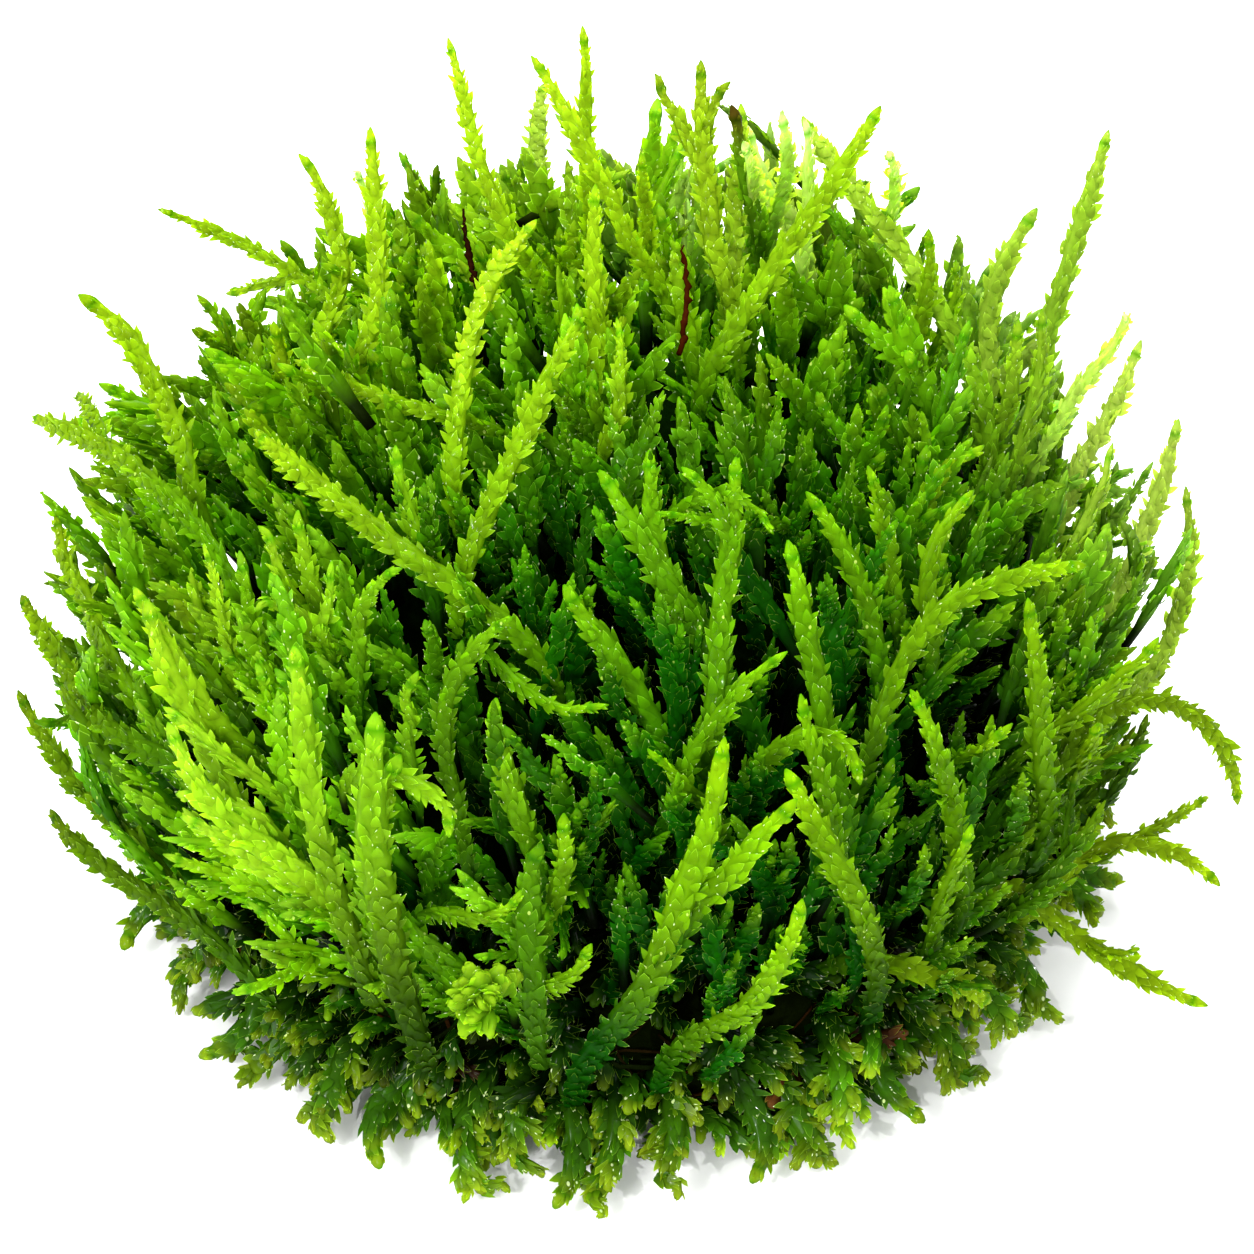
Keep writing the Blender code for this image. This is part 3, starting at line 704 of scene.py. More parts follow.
# name: (foot), (middle), (tip), how far the tip stands off the cushion, width
longShoots = {
    "crown_shoot_1": ((134, 15), (136, 17), (125, 24), 12.2, 1.3),
    "crown_shoot_2": ((95, 21), (95, 19), (96, 18), 12.0, 1.4),
    "crown_shoot_3": ((66, 10), (96, 10), (115, 15), 11.6, 1.5),
    "crown_shoot_4": ((34, 17), (56, 19), (67, 23), 10.0, 1.9),
    "crown_shoot_5": ((40, 21), (52, 25), (61, 29), 7.6, 1.7),
    "crown_shoot_6": ((0, 47), (31, 36), (55, 37), 7.2, 2.0),
    "crown_shoot_7": ((-6, 17), (15, 22), (28, 28), 11.0, 1.9),
    "crown_shoot_8": ((178, 30), (160, 27), (146, 27), 9.8, 1.7),
    "crown_shoot_9": ((177, 38), (157, 35), (149, 36), 9.9, 1.7),
    "left_shoot_1": ((157, 38), (146, 53), (150, 56), 11.2, 1.2),
    "left_shoot_2": ((-176, 57), (168, 59), (165, 58), 10.8, 2.4),
    "left_shoot_3": ((-150, 55), (-172, 58), (169, 71), 7.2, 2.0),
    "left_shoot_4": ((-160, 74), (-175, 76), (175, 77), 3.6, 1.9),
    "left_shoot_5": ((-141, 76), (-158, 79), (-178, 82), 4.4, 2.0),
    "left_shoot_6": ((-150, 92), (-163, 91), (-171, 88), 4.5, 1.8),
    "left_shoot_7": ((-137, 95), (-150, 96), (-162, 96), 3.8, 2.0),
    "right_shoot_1": ((6, 60), (12, 50), (22, 47), 14.3, 2.0),
    "right_shoot_2": ((14, 51), (21, 50), (24, 49), 8.6, 2.2),
    "right_shoot_3": ((2, 66), (13, 68), (18, 66), 7.4, 2.0),
    "right_shoot_4": ((-6, 76), (6, 77), (11, 71), 6.8, 2.0),
    "right_shoot_5": ((-24, 80), (-7, 84), (2, 79), 4.9, 2.0),
    "right_shoot_6": ((-33, 80), (-22, 78), (-17, 94), 8.0, 1.5),
    "right_shoot_7": ((-29, 96), (-25, 94), (-23, 98), 8.6, 1.6),
    "right_shoot_8": ((-38, 95), (-34, 101), (-31, 103), 11.1, 1.8),
    "front_shoot_1": ((-106, 46), (-135, 41), (-160, 43), 3.4, 2.0),
    "front_shoot_2": ((-132, 25), (-176, 13), (129, 12), 3.4, 1.8),
    "front_shoot_3": ((-113, 36), (-109, 22), (-105, 9), 3.8, 1.8),
    "front_shoot_4": ((-75, 54), (-70, 42), (-63, 31), 4.2, 2.0),
    "front_shoot_5": ((-108, 64), (-109, 54), (-101, 46), 6.0, 1.5),
    "front_shoot_6": ((-63, 67), (-63, 53), (-63, 41), 5.5, 2.0),
    "front_shoot_7": ((-135, 73), (-142, 67), (-149, 60), 4.4, 2.4),
    "front_shoot_8": ((-125, 78), (-132, 74), (-138, 67), 5.0, 2.2),
    "front_shoot_9": ((-117, 83), (-121, 68), (-126, 54), 6.0, 2.2),
    "front_shoot_10": ((-110, 88), (-112, 71), (-113, 56), 8.0, 2.8),
    "front_shoot_11": ((-91, 94), (-84, 75), (-78, 56), 8.0, 2.6),
    "front_shoot_12": ((-81, 94), (-76, 82), (-73, 70), 8.0, 2.0),
    "front_shoot_13": ((-62, 86), (-66, 73), (-71, 61), 5.0, 2.2),
    "front_shoot_14": ((-50, 80), (-52, 69), (-55, 58), 5.0, 1.8),
    "front_shoot_15": ((-36, 80), (-37, 68), (-36, 57), 5.0, 2.2),
    "front_shoot_16": ((-53, 60), (-41, 54), (-29, 58), 6.5, 1.9),
    "front_shoot_17": ((-97, 85), (-97, 76), (-96, 67), 3.6, 2.4),
    "back_shoot_1": ((100, 50), (99, 56), (97, 61), 9.0, 1.9),
    "back_shoot_2": ((66, 58), (63, 65), (61, 71), 8.0, 2.0),
    "back_shoot_3": ((127, 66), (131, 74), (133, 80), 7.0, 1.8),
    "back_shoot_4": ((92, 80), (96, 88), (99, 92), 6.0, 2.0),
    "back_shoot_5": ((44, 78), (40, 86), (37, 90), 7.0, 1.8),
}

# name: its forks, each (share of its length where it leaves), (tip), reach
forks = {
    "crown_shoot_4": [(0.45, (77, 21), 9.0), (0.55, (57, 22), 9.6)],
    "left_shoot_3": [(0.62, (166, 68), 6.3)],
    "right_shoot_5": [(0.60, (6, 75), 5.6)],
    "right_shoot_7": [(0.35, (-17, 94), 6.4)],
    "right_shoot_8": [(0.35, (-38, 93), 7.5)],
    "front_shoot_4": [(0.55, (-75, 31), 4.6)],
    "front_shoot_11": [(0.40, (-72, 62), 8.0)],
}
broad = {f"front_shoot_{i}" for i in range(7, 13)}
forkLook = {"width": 0.8, "bow": 0.12, "points": 14}
rooting = {"reach": 7.0, "points": 7, "down": 0.75, "lowest": 3.0}
longLook = {"midAt": 5.0, "footAt": 22.0}
longForm = {
    "clear": 7.0,                           # how deep daylight reaches round them
    "width": 0.87,                          # of the width given, which includes the leaves
    "broadWidth": 0.93,
    "leafyRoot": 7.0,                       # leaves go on this far below the skin
    "middleMix": (0.5, 0.45),               # of the middle and the tip colour
    "footMix": 0.6,
    "gain": (1.12, 1.04, 0.7),              # of red, green and blue
}

# shoots lighter or darker than their neighbours, partly in their own tone and partly painted light and shade,
# such as feet painted dark where they sink into the shaded foot: tip, middle and foot tone and their red, of
# the usual
shadeOf = {
    "crown_shoot_4": (0.6, 0.8, 0.8, 1.0),
    "left_shoot_5": (0.7, 0.8, 0.8, 1.0),
    "left_shoot_6": (0.7, 0.8, 0.8, 1.0),
    "left_shoot_7": (0.6, 0.7, 0.7, 1.0),
    "front_shoot_5": (0.8, 0.8, 0.7, 1.0),
    "front_shoot_8": (1.0, 1.0, 0.5, 1.0),
    "front_shoot_9": (1.0, 1.0, 0.4, 1.0),
    "front_shoot_10": (1.0, 0.95, 0.3, 1.0),
    "front_shoot_11": (0.95, 1.35, 0.8, 1.2),
    "front_shoot_12": (1.0, 1.3, 1.0, 1.15),
    "front_shoot_13": (1.1, 1.15, 0.5, 1.15),
    "front_shoot_14": (1.0, 1.0, 0.6, 1.0),
    "front_shoot_17": (0.55, 0.7, 0.35, 0.75),
}

# and those that narrow to their point over a longer way, in mm
taperOf = {"front_shoot_11": 9.0, "front_shoot_12": 6.5, "front_shoot_10": 6.0, "front_shoot_15": 6.0}


def rooted(path):
    # the part of a shoot that goes on down into the cushion
    back = unit(path[0] - path[1])
    inward = unit(cushionCentre - path[0])
    down = unit(np.array((0.0, 0.0, -1.0)) * rooting["down"] + inward * (1 - rooting["down"]))
    extra = []
    place = path[0]
    for i in range(rooting["points"]):
        share = (i + 1) / rooting["points"]
        place = place + unit(back * (1 - share) + down * share) * rooting["reach"] / rooting["points"]
        extra.append(place)
    keep = [point for point in extra if point[2] > rooting["lowest"]]
    return np.vstack([np.array(keep[::-1]).reshape(-1, 3), path])


def bareBelow(whole, path, leafyRoot):
    # the length at the foot of a rooted shoot that has no leaves
    return max(0.0, lengthOf(whole) - lengthOf(path) - leafyRoot)


def forkPath(path, share, tip, reach):
    start = path[round(share * (len(path) - 1))]
    end = offSkin(direction(tip), reach)
    bow = unit(start - path[0]) * np.linalg.norm(end - start) * forkLook["bow"]
    return bowed(start, (start + end) / 2 + bow, end, forkLook["points"])


def longTones(tones):
    # long shoots get more light, so they are brighter, and stay so further down
    tip, middle, foot = tones
    fromMiddle, fromTip = longForm["middleMix"]
    mixed = [tip, middle * fromMiddle + tip * fromTip, (foot + middle) * longForm["footMix"]]
    return np.array(mixed) * longForm["gain"]


def makeLongShoots():
    for i, (name, (foot, middle, tip, reach, width)) in enumerate(longShoots.items()):
        draw = drawFor("long", i)
        path = shootPath(foot, middle, tip, reach, width)
        width = width * longForm["broadWidth" if name in broad else "width"]
        *levels, red = shadeOf.get(name, (1.0, 1.0, 1.0, 1.0))
        tones = longTones(tonesAt(path[-1])) * np.array(levels)[:, None] * (red, 1.0, 1.0)
        whole = rooted(path)
        growth = newGrowth()
        addShoot(growth, whole, width, tones, draw, bare=bareBelow(whole, path, longForm["leafyRoot"]),
                 clear=longForm["clear"], toFront=0.0 if name.startswith("back") else 1.0,
                 budLength=taperOf.get(name, habit["budLength"]), **longLook)
        for share, *end in forks.get(name, []):
            addShoot(growth, forkPath(path, share, *end), width * forkLook["width"], tones, draw,
                     clear=longForm["clear"], toFront=1.0)
        makePiece(name.replace("shoot", "leaves"), growth, dryLeaf, "long_shoots", name)
    print("long shoots grown:", len(longShoots))


makeLongShoots()


# the short shoots of the cushion
shortShoots = {
    "width": (1.3, 1.9),                    # in the shaded front
    "fullWidth": (1.8, 2.7),                # and where it is full
    "fullFrom": (0.7, 0.95),
    "standing": 1.0,                        # a solid's corner this far off the skin is a shoot's tip
    "lowest": 6.0,                          # of the tips
    "rootHeight": (1.5, 5.0),
    "leastRise": 3.5,
    "rootRing": 22.0,                       # no shoot is rooted further from the middle
    "leanX": ((-30, -20, -10, 0, 10, 20, 30), (-0.9, -0.6, -0.3, -0.12, 0.0, 0.28, 0.72)),
    "leanY": ((-28, -20, -10, 5, 20, 28), (-0.15, 0.08, 0.15, 0.15, 0.45, 0.8)),
    "leanJitter": 0.19,
    "bow": 0.08,
    "leafyReach": (6.5, 9.5),               # how far down from the tip the leaves go
    "companions": (0.8, 2.9),               # beside a tip, where it is full
    "companionAside": 1.6,
    "companionDrop": (0.4, 3.6),
    "dropWhereEmpty": (2.2, -1.2),          # that, times this where it isn't full, and the change where it is
    "lower": 184,                           # shoots whose tips stay under the others
    "lowerRound": 1.05,                     # how far down they go, 1 being level with the cushion's middle
    "lowerJitter": 0.03,
    "lowerDepth": (1.0, 3.6),
    "lowerExtra": 5.0,                      # deeper still where it isn't full
    "inFront": 80,                          # long ones, close behind each other in the shade of the front
    "frontPlaces": ((-142, -22), (12, 84)),
    "frontHeight": (-2.2, 1.6),
    "tallReach": (11.0, 15.0),
    # more that stand out from the sides: how many, bearings, tilts, heights off the skin
    "outer": ((68, (146, 214), (58, 97), (0.8, 4.2)), (48, (-32, 30), (56, 96), (0.6, 3.4)),
              (18, (118, 150), (50, 90), (0.6, 3.4))),
    # long shoots that are seen along their whole length, and how near them no extra tip stands
    "seenWhole": ("crown_shoot_6", "crown_shoot_5", "left_shoot_2", "left_shoot_3", "front_shoot_1",
                  "front_shoot_2", "front_shoot_4", "right_shoot_2", "right_shoot_3", "crown_shoot_7"),
    "seenFrom": 8,                          # the point of their paths
    "room": 2.3,
    "extraWidth": 0.88,                     # of the shoots between those that the solid has
    "extraLeafy": 0.7,
    "sideLeafy": 9.0,                       # at the sides and at the top of the back
    "topOfBack": (14, 33),                  # y and z from which it counts as that
    "finelyMade": 12,                       # y up to which the shoots have finer leaves
    "toneJitter": 0.18,
    "redJitter": 0.07,
    "tipMix": (0.6, 0.4),                   # of the tip and the middle colour
}
branches = {
    "share": 0.5,                           # of the shoots have some
    "number": (2, 4),
    "below": (2.5, 8.5),                    # from the tip
    "length": (2.4, 5.4),
    "angle": (18, 42),
    "ahead": 0.5,                           # along the shoot, to find which way it goes
    "turn": (0, 6.28),                      # radians round it
    "leastStart": 1.0,                      # none grows nearer its foot
    "bend": (0.55, 0.15),                   # half way along, and how far the end turns up
    "width": 0.78,
    "look": {"midAt": 2.2, "sway": 0.05},
}

# single shoots that the eye finds between the others
strands = {
    # (foot), (middle), (tip), height of each off the cushion, width
    "long_left": ((-132, 25), (-148, 30), (-169, 36), 0.3, 2.4, 3.6, 1.0),
    "slim_left": ((-142, 64), (-143, 58), (-149, 53), 0.3, 2.0, 3.6, 0.9),
    "broad_left": ((-136, 71), (-142, 66), (-153, 61), 0.0, 2.2, 4.0, 1.8),
    "lying_left": ((-131, 73), (-136, 70), (-142, 68), 0.2, 2.0, 3.6, 1.4),
    "shaded_left": ((-128, 78), (-132, 75), (-138, 76), 0.0, 1.6, 3.0, 1.9),
    "lobed_left": ((-124, 83), (-130, 79), (-136, 77), 0.0, 1.8, 3.4, 1.7),
    "brightest": ((-114, 78), (-113, 68), (-111, 60), 2.0, 4.0, 5.6, 2.2),
    "hooked": ((-111, 63), (-107, 64), (-105, 67), 5.0, 5.0, 4.6, 1.6),
    "upright": ((-114, 62), (-114, 57), (-113, 53), 1.0, 2.4, 3.6, 1.3),
    "fan_1": ((-129, 56), (-128, 51), (-129, 46), 0.4, 2.4, 4.0, 1.3),
    "fan_2": ((-125, 56), (-124, 48), (-119, 44), 0.4, 2.4, 3.8, 1.2),
    "fan_3": ((-137, 53), (-140, 50), (-144, 48), 0.4, 2.0, 3.4, 1.5),
    "fan_4": ((-134, 53), (-137, 48), (-140, 44), 0.4, 2.0, 3.4, 1.6),
    "fan_5": ((-134, 55), (-137, 54), (-137, 55), 0.6, 2.2, 3.0, 1.5),
    "column_1": ((-122, 41), (-126, 38), (-133, 33), 0.2, 2.0, 3.4, 1.6),
    "column_2": ((-87, 6), (-115, 3), (136, 1), 1.0, 4.0, 8.0, 1.4),
    "column_3": ((-87, 22), (-83, 18), (-82, 10), 0.2, 2.0, 3.6, 1.1),
    "crossing": ((-59, 38), (-71, 36), (-81, 35), 1.6, 3.0, 3.6, 0.9),
    "side_fork": ((-68, 35), (-64, 37), (-62, 40), 3.6, 4.0, 3.4, 1.0),
    "slope": ((-51, 56), (-51, 45), (-54, 37), 0.2, 2.2, 3.8, 1.6),
    "needle": ((-44, 53), (-43, 45), (-41, 38), 0.2, 2.2, 3.8, 1.3),
    "curved_1": ((-42, 56), (-39, 49), (-30, 47), 0.4, 2.8, 4.4, 1.7),
    "curved_2": ((-28, 47), (-25, 45), (-20, 46), 0.4, 2.2, 3.8, 1.4),
    "ringed": ((-106, 51), (-97, 54), (-89, 54), 0.6, 2.2, 2.6, 1.2),
    "curtain_1": ((-99, 69), (-102, 61), (-103, 54), 0.2, 1.8, 3.0, 1.9),
    "curtain_2": ((-96, 79), (-94, 71), (-94, 64), 0.4, 2.0, 3.4, 1.7),
    "curtain_3": ((-79, 72), (-78, 65), (-76, 59), 0.2, 1.6, 2.8, 1.8),
    "curtain_4": ((-85, 54), (-90, 48), (-96, 42), 0.2, 1.6, 3.0, 1.9),
    "curtain_5": ((-72, 55), (-82, 39), (-91, 29), 0.2, 1.4, 2.6, 1.9),
    "curtain_6": ((-76, 45), (-80, 37), (-79, 27), 0.2, 1.6, 2.8, 1.8),
    "claw": ((-105, 78), (-101, 76), (-98, 72), 1.4, 2.4, 3.2, 1.3),
    "leaning": ((-96, 85), (-93, 81), (-91, 77), 1.0, 2.2, 3.2, 1.4),
    "bridge": ((-80, 61), (-74, 54), (-67, 51), 1.2, 3.4, 4.6, 1.3),
    "lobed_middle": ((-78, 66), (-82, 61), (-85, 58), 0.4, 2.0, 3.2, 1.3),
    "arm_right": ((-66, 60), (-63, 61), (-62, 66), 3.0, 3.6, 3.0, 1.5),
    "beside_arm": ((-63, 84), (-66, 67), (-67, 55), 0.6, 3.0, 4.6, 1.6),
    "spear_right": ((-53, 88), (-53, 79), (-52, 73), 0.6, 2.4, 4.0, 1.7),
    "up_right": ((-45, 71), (-45, 69), (-43, 67), 0.8, 2.4, 3.6, 1.4),
    "stalk": ((-105, 97), (-102, 88), (-101, 84), -1.5, 1.5, 3.6, 0.9),
    "pale_1": ((48, 32), (45, 28), (43, 23), 3.0, 6.0, 9.0, 1.5),
    "pale_2": ((35, 30), (36, 27), (38, 24), 2.0, 5.5, 9.0, 1.6),
    "pale_3": ((48, 27), (43, 22), (38, 17), 3.0, 5.5, 8.0, 1.5),
    "pale_4": ((36, 43), (30, 36), (23, 29), 2.0, 5.5, 9.0, 1.4),
    "pale_5": ((50, 36), (56, 33), (60, 30), 2.0, 4.0, 6.5, 1.8),
    "pale_6": ((3, 57), (8, 56), (4, 52), 4.0, 7.5, 9.0, 1.3),
    "beside_pale": ((-4, 54), (0, 49), (2, 45), 2.0, 5.0, 7.0, 1.6),
    "pale_8": ((130, 50), (131, 46), (134, 42), 2.0, 4.4, 6.0, 1.6),
    "brown_point": ((47, 26), (49, 22), (51, 19), 3.0, 6.0, 9.0, 1.6),
    "small_crown": ((74, 18), (74, 16), (74, 14), 2.0, 4.0, 6.0, 1.2),
    "bud_1": ((10, 41), (10, 37), (10, 33), 1.0, 4.0, 7.0, 1.4),
    "bud_2": ((12, 44), (10, 41), (8, 37), 1.0, 3.6, 6.0, 1.2),
    "bud_3": ((-2, 52), (0, 48), (1, 44), 1.0, 3.6, 6.0, 1.5),
    "bud_4": ((-11, 64), (-7, 62), (-3, 60), 1.6, 3.4, 5.0, 1.7),
    "bud_5": ((174, 46), (173, 43), (173, 40), 0.6, 2.2, 4.0, 1.6),
    "low_right": ((-33, 76), (-29, 71), (-27, 67), 0.4, 4.0, 7.0, 1.7),
    "broad_right": ((-28, 86), (-31, 78), (-33, 73), 0.2, 2.4, 4.0, 2.0),
    "lying_right": ((-58, 94), (-53, 95), (-47, 101), -0.6, 1.6, 3.0, 1.8),
}
strandLook = {"midAt": 4.0, "footAt": 16.0}
strandForm = {"points": 20, "leafyRoot": 4.5, "paleClear": 14.0}
# painted backlight: the pale shoots at the top are painted light as if lit through from behind, over their own
# pale green
paleTones = linearAll("#ecf4b8", "#c4dc60", "#7cac24")
brownTones = linearAll("#5a4410", "#6c9c14", "#3c7404")
rosette = {
    "centre": (-101, 83),
    "height": 4.0,
    "toward": (-0.1, -0.6, 0.7),
    "gather": 0.75,                         # how much the lobes turn that way
    "lobes": 20,
    "length": (1.6, 2.4),
    "width": (1.4, 1.8),
    "wobble": 0.05,
    "tones": ("#94b81c", "#689810", "#2c5804"),
    "look": {"clear": 9.0, "budLength": 0.8, "midAt": 0.8, "footAt": 2.0, "sway": 0.02, "spotDepth": 0.1,
             "leafLength": 0.5, "leafWidth": 0.7, "turnOut": (6, 24)},
}
shortLook = {
    "sidePitch": 0.32,
    "facePitch": 0.50,
    "backPitch": 2.4,
    "leafLength": 0.78,
    "leafWidth": 0.57,
    "leafGrowth": 0.6,
    "turnOut": (12, 44),
    "faceTurn": (-34, 34),
    "faceLift": (0.0, 0.12),
    "budLength": 3.0,
    "budForm": (0.0, 0.15, 0.27, 0.38, 0.47, 0.54, 0.66, 0.88, 1.0),
    "spotDepth": 0.2,
}


def nodeCorners(node):
    # its points in mm, to a hundredth and in a fixed order
    item = bpy.data.objects[node]
    places = [item.matrix_world @ corner.co for corner in item.data.vertices]
    return np.array(sorted({tuple(round(v * 1e5) / 100 for v in place) for place in places}))


def standingTips():
    # a shoot stands on each point of the solid that is off its skin
    tips = []
    for corner in nodeCorners("cushion"):
        away = corner - cushionCentre
        stands = np.linalg.norm(away) - skinRadius(unit(away)) > shortShoots["standing"]
        if stands and corner[2] > shortShoots["lowest"]:
            tips.append(corner)
    return tips


def tipsBeside(mains):
    tips = []
    for i, main in enumerate(mains):
        draw = drawFor("beside", i)
        fullness = roomAt(main)[1]
        for _ in range(int(fullness * draw.uniform(*shortShoots["companions"]))):
            tip = main + draw.normal(0, shortShoots["companionAside"], 3)
            drop = draw.uniform(*shortShoots["companionDrop"]) * rising(shortShoots["dropWhereEmpty"], fullness)
            tips.append(tip - unit(tip - cushionCentre) * drop)
    return tips


def lowerTips():
    # spread evenly, each turned by the golden angle from the one before
    golden = math.pi * (3 - math.sqrt(5))
    tips = []
    for i in range(shortShoots["lower"]):
        draw = drawFor("lower", i)
        rise = 1 - (i + 0.5) / shortShoots["lower"] * shortShoots["lowerRound"]
        level = math.sqrt(max(0.0, 1 - rise * rise))
        toward = np.array([math.cos(golden * i) * level, math.sin(golden * i) * level, rise])
        toward = unit(toward + draw.normal(0, shortShoots["lowerJitter"], 3))
        fullness = roomAt(cushionCentre + toward)[1]
        depth = draw.uniform(*shortShoots["lowerDepth"]) + (1 - fullness) * shortShoots["lowerExtra"]
        tips.append(offSkin(toward, -depth))
    return tips


def scatteredTip(draw, bearings, tilts, heights):
    toward = direction((draw.uniform(*bearings), draw.uniform(*tilts)))
    return offSkin(toward, draw.uniform(*heights))


def shortPath(tip, draw):
    # up from the mat, leaning the way its neighbours do
    root = np.array(tip)
    root[2] = min(draw.uniform(*shortShoots["rootHeight"]), tip[2] - shortShoots["leastRise"])
    lean = np.array([np.interp(tip[0], *shortShoots["leanX"]), np.interp(tip[1], *shortShoots["leanY"])])
    lean = lean + draw.normal(0, shortShoots["leanJitter"], 2)
    level = tip[:2] - lean * (tip[2] - root[2]) - cushionCentre[:2]
    root[:2] = cushionCentre[:2] + level * min(1.0, shortShoots["rootRing"] / np.linalg.norm(level))
    length = np.linalg.norm(tip - root)
    middle = (root + tip) / 2 + draw.normal(0, 1, 3) * length * shortShoots["bow"]
    return bowed(root, middle, tip, points=12)


def shortTones(tones):
    # short ones stand in each other's shade
    tip, middle, foot = tones
    fromTip, fromMiddle = shortShoots["tipMix"]
    return np.array([tip * fromTip + middle * fromMiddle, middle, foot])


# joined pieces of the cushion, and the bearings between which each stands round the crown
crownRadius = 12
sectors = (("right_mass", -40, 45), ("back_mass", 45, 135), ("front_right_mass", -90, -40),
           ("front_left_mass", -142, -90))


def massFor(tip):
    # which joined piece of the cushion a shoot belongs to
    level = tip[:2] - cushionCentre[:2]
    bearing = math.degrees(math.atan2(level[1], level[0]))
    if np.linalg.norm(level) < crownRadius:
        return "crown_mass"
    for name, low, high in sectors:
        if low <= bearing < high:
            return name
    return "left_mass"


def addBranches(growth, path, width, tones, draw):
    at, across, sideways = framed(path, draw.normal(0, 1, 3))
    for _ in range(draw.integers(branches["number"][0], branches["number"][1] + 1)):
        start = at[-1] - draw.uniform(*branches["below"])
        if start < branches["leastStart"]:
            continue
        turn = draw.uniform(*branches["turn"])
        angle = math.radians(draw.uniform(*branches["angle"]))
        place = along(at, path, start)
        ahead = unit(along(at, path, start + branches["ahead"]) - place)
        out = math.cos(turn) * along(at, across, start) + math.sin(turn) * along(at, sideways, start)
        way = ahead * math.cos(angle) + out * math.sin(angle)
        reach = draw.uniform(*branches["length"])
        half, upturn = branches["bend"]
        end = place + way * reach + ahead * reach * upturn
        twig = bowed(place, place + way * reach * half, end, points=7)
        addShoot(growth, twig, width * branches["width"], tones, draw, coarse, **branches["look"])


def growShortShoots(masses):
    mains = standingTips()
    tips = [(tip, "main") for tip in mains]
    tips += [(tip, "beside") for tip in tipsBeside(mains)]
    tips += [(tip, "lower") for tip in lowerTips()]
    tips += [(scatteredTip(drawFor("tall", i), *shortShoots["frontPlaces"], shortShoots["frontHeight"]), "tall")
             for i in range(shortShoots["inFront"])]
    for number, *places in shortShoots["outer"]:
        tips += [(scatteredTip(drawFor("outer", number * 100 + i), *places), "outer") for i in range(number)]
    seenWays = np.concatenate([shootPath(*longShoots[name])[shortShoots["seenFrom"]:]
                               for name in shortShoots["seenWhole"]])
    grown = 0
    for i, (tip, kind) in enumerate(tips):
        draw = drawFor("short", i)
        main = kind == "main"
        crowded = not main and np.linalg.norm(seenWays - tip, axis=1).min() < shortShoots["room"]
        if crowded or tip[2] < shortShoots["lowest"]:
            continue
        growth = masses.setdefault(massFor(tip), newGrowth())
        path = shortPath(tip, draw)
        full = smooth(*shortShoots["fullFrom"], roomAt(tip)[1])
        slim, broadest = draw.uniform(*shortShoots["width"]), draw.uniform(*shortShoots["fullWidth"])
        width = (slim * (1 - full) + broadest * full) * (1.0 if main else shortShoots["extraWidth"])
        tones = shortTones(tonesAt(tip)) * np.exp(draw.normal(0, shortShoots["toneJitter"]))
        tones = tones * (np.exp(draw.normal(0, shortShoots["redJitter"])), 1.0, 1.0)
        leafy = draw.uniform(*shortShoots["leafyReach"]) * (1.0 if main else shortShoots["extraLeafy"])
        if kind == "outer" or (tip[1:] > shortShoots["topOfBack"]).all():
            leafy = shortShoots["sideLeafy"]
        if kind == "tall":
            leafy = draw.uniform(*shortShoots["tallReach"])
        shape = coarse if kind in ("main", "tall") and tip[1] < shortShoots["finelyMade"] else plain
        addShoot(growth, path, width, tones, draw, shape, max(0.0, lengthOf(path) - leafy), **shortLook)
        if main and draw.uniform() < branches["share"]:
            addBranches(growth, path, width, tones, draw)
        grown += 1
    print("short shoots grown:", grown)


def growStrands(masses):
    for i, (name, (foot, middle, tip, *heights, width)) in enumerate(strands.items()):
        draw = drawFor("strand", i)
        foot, middle, tip = (offSkin(direction(place), height)
                             for place, height in zip((foot, middle, tip), heights))
        path = bowed(foot, middle, tip, strandForm["points"])
        whole = rooted(path)
        tones = longTones(tonesAt(tip))
        if name.startswith("pale"):
            tones = paleTones
        elif name.startswith("brown"):
            tones = brownTones
        growth = masses.setdefault(massFor(tip), newGrowth())
        addShoot(growth, whole, width, tones, draw, bare=bareBelow(whole, path, strandForm["leafyRoot"]),
                 clear=strandForm["paleClear"] if name.startswith("pale") else None, **strandLook)


def addRosette(growth):
    # a round bunch of short blunt lobes on a stalk
    centre = offSkin(direction(rosette["centre"]), rosette["height"])
    toward = unit(np.array(rosette["toward"]))
    tones = linearAll(*rosette["tones"])
    for i in range(rosette["lobes"]):
        draw = drawFor("rosette", i)
        way = unit(toward * rosette["gather"] + unit(draw.normal(0, 1, 3)))
        end = centre + way * draw.uniform(*rosette["length"])
        path = []
        for k in range(6):
            middle = (centre + end) / 2 + draw.normal(0, rosette["wobble"], 3)
            path.append(through(centre, middle, end, k / 5))
        addShoot(growth, np.array(path), draw.uniform(*rosette["width"]), tones, draw, **rosette["look"])


heart = {
    "depth": 9.0,                           # under the skin
    "lowest": 5.0,
    "tilts": (118, 0.5),                    # degrees, of its lowest ring and at its top
    "rough": 1.6,
    "roughSize": 3.0,
    "around": 110,
    "up": 44,
    "tone": "#010600",                      # painted shade, all but black, in the front
    # painted shade too, but dark green at the back
    "backTone": "#143404",
    "backFrom": (-2.0, 12.0),               # y between which the one turns into the other
}


def makeHeart():
    # the tangle of dead moss that the living shoots grow out of, a shell under them painted with shade: all but
    # black in the gaps at the front, dark green at the back
    rings = []
    for j in range(heart["up"]):
        tilt = heart["tilts"][0] * (1 - j / heart["up"]) + heart["tilts"][1]
        ring = []
        for i in range(heart["around"]):
            toward = direction((360 * i / heart["around"], tilt))
            point = offSkin(toward, -heart["depth"])
            point = point + toward * heart["rough"] * noise.noise(Vector(point / heart["roughSize"]))
            ring.append(np.array((point[0], point[1], max(point[2], heart["lowest"]))))
        rings.append(ring)
    points = np.array(rings)
    growth = newGrowth()
    back = smooth(*heart["backFrom"], points[..., 1:2])
    addRings(growth, points, linear(heart["tone"]) * (1 - back) + linear(heart["backTone"]) * back)
    makePiece("heart", growth, shade, "short_shoots", "cushion")


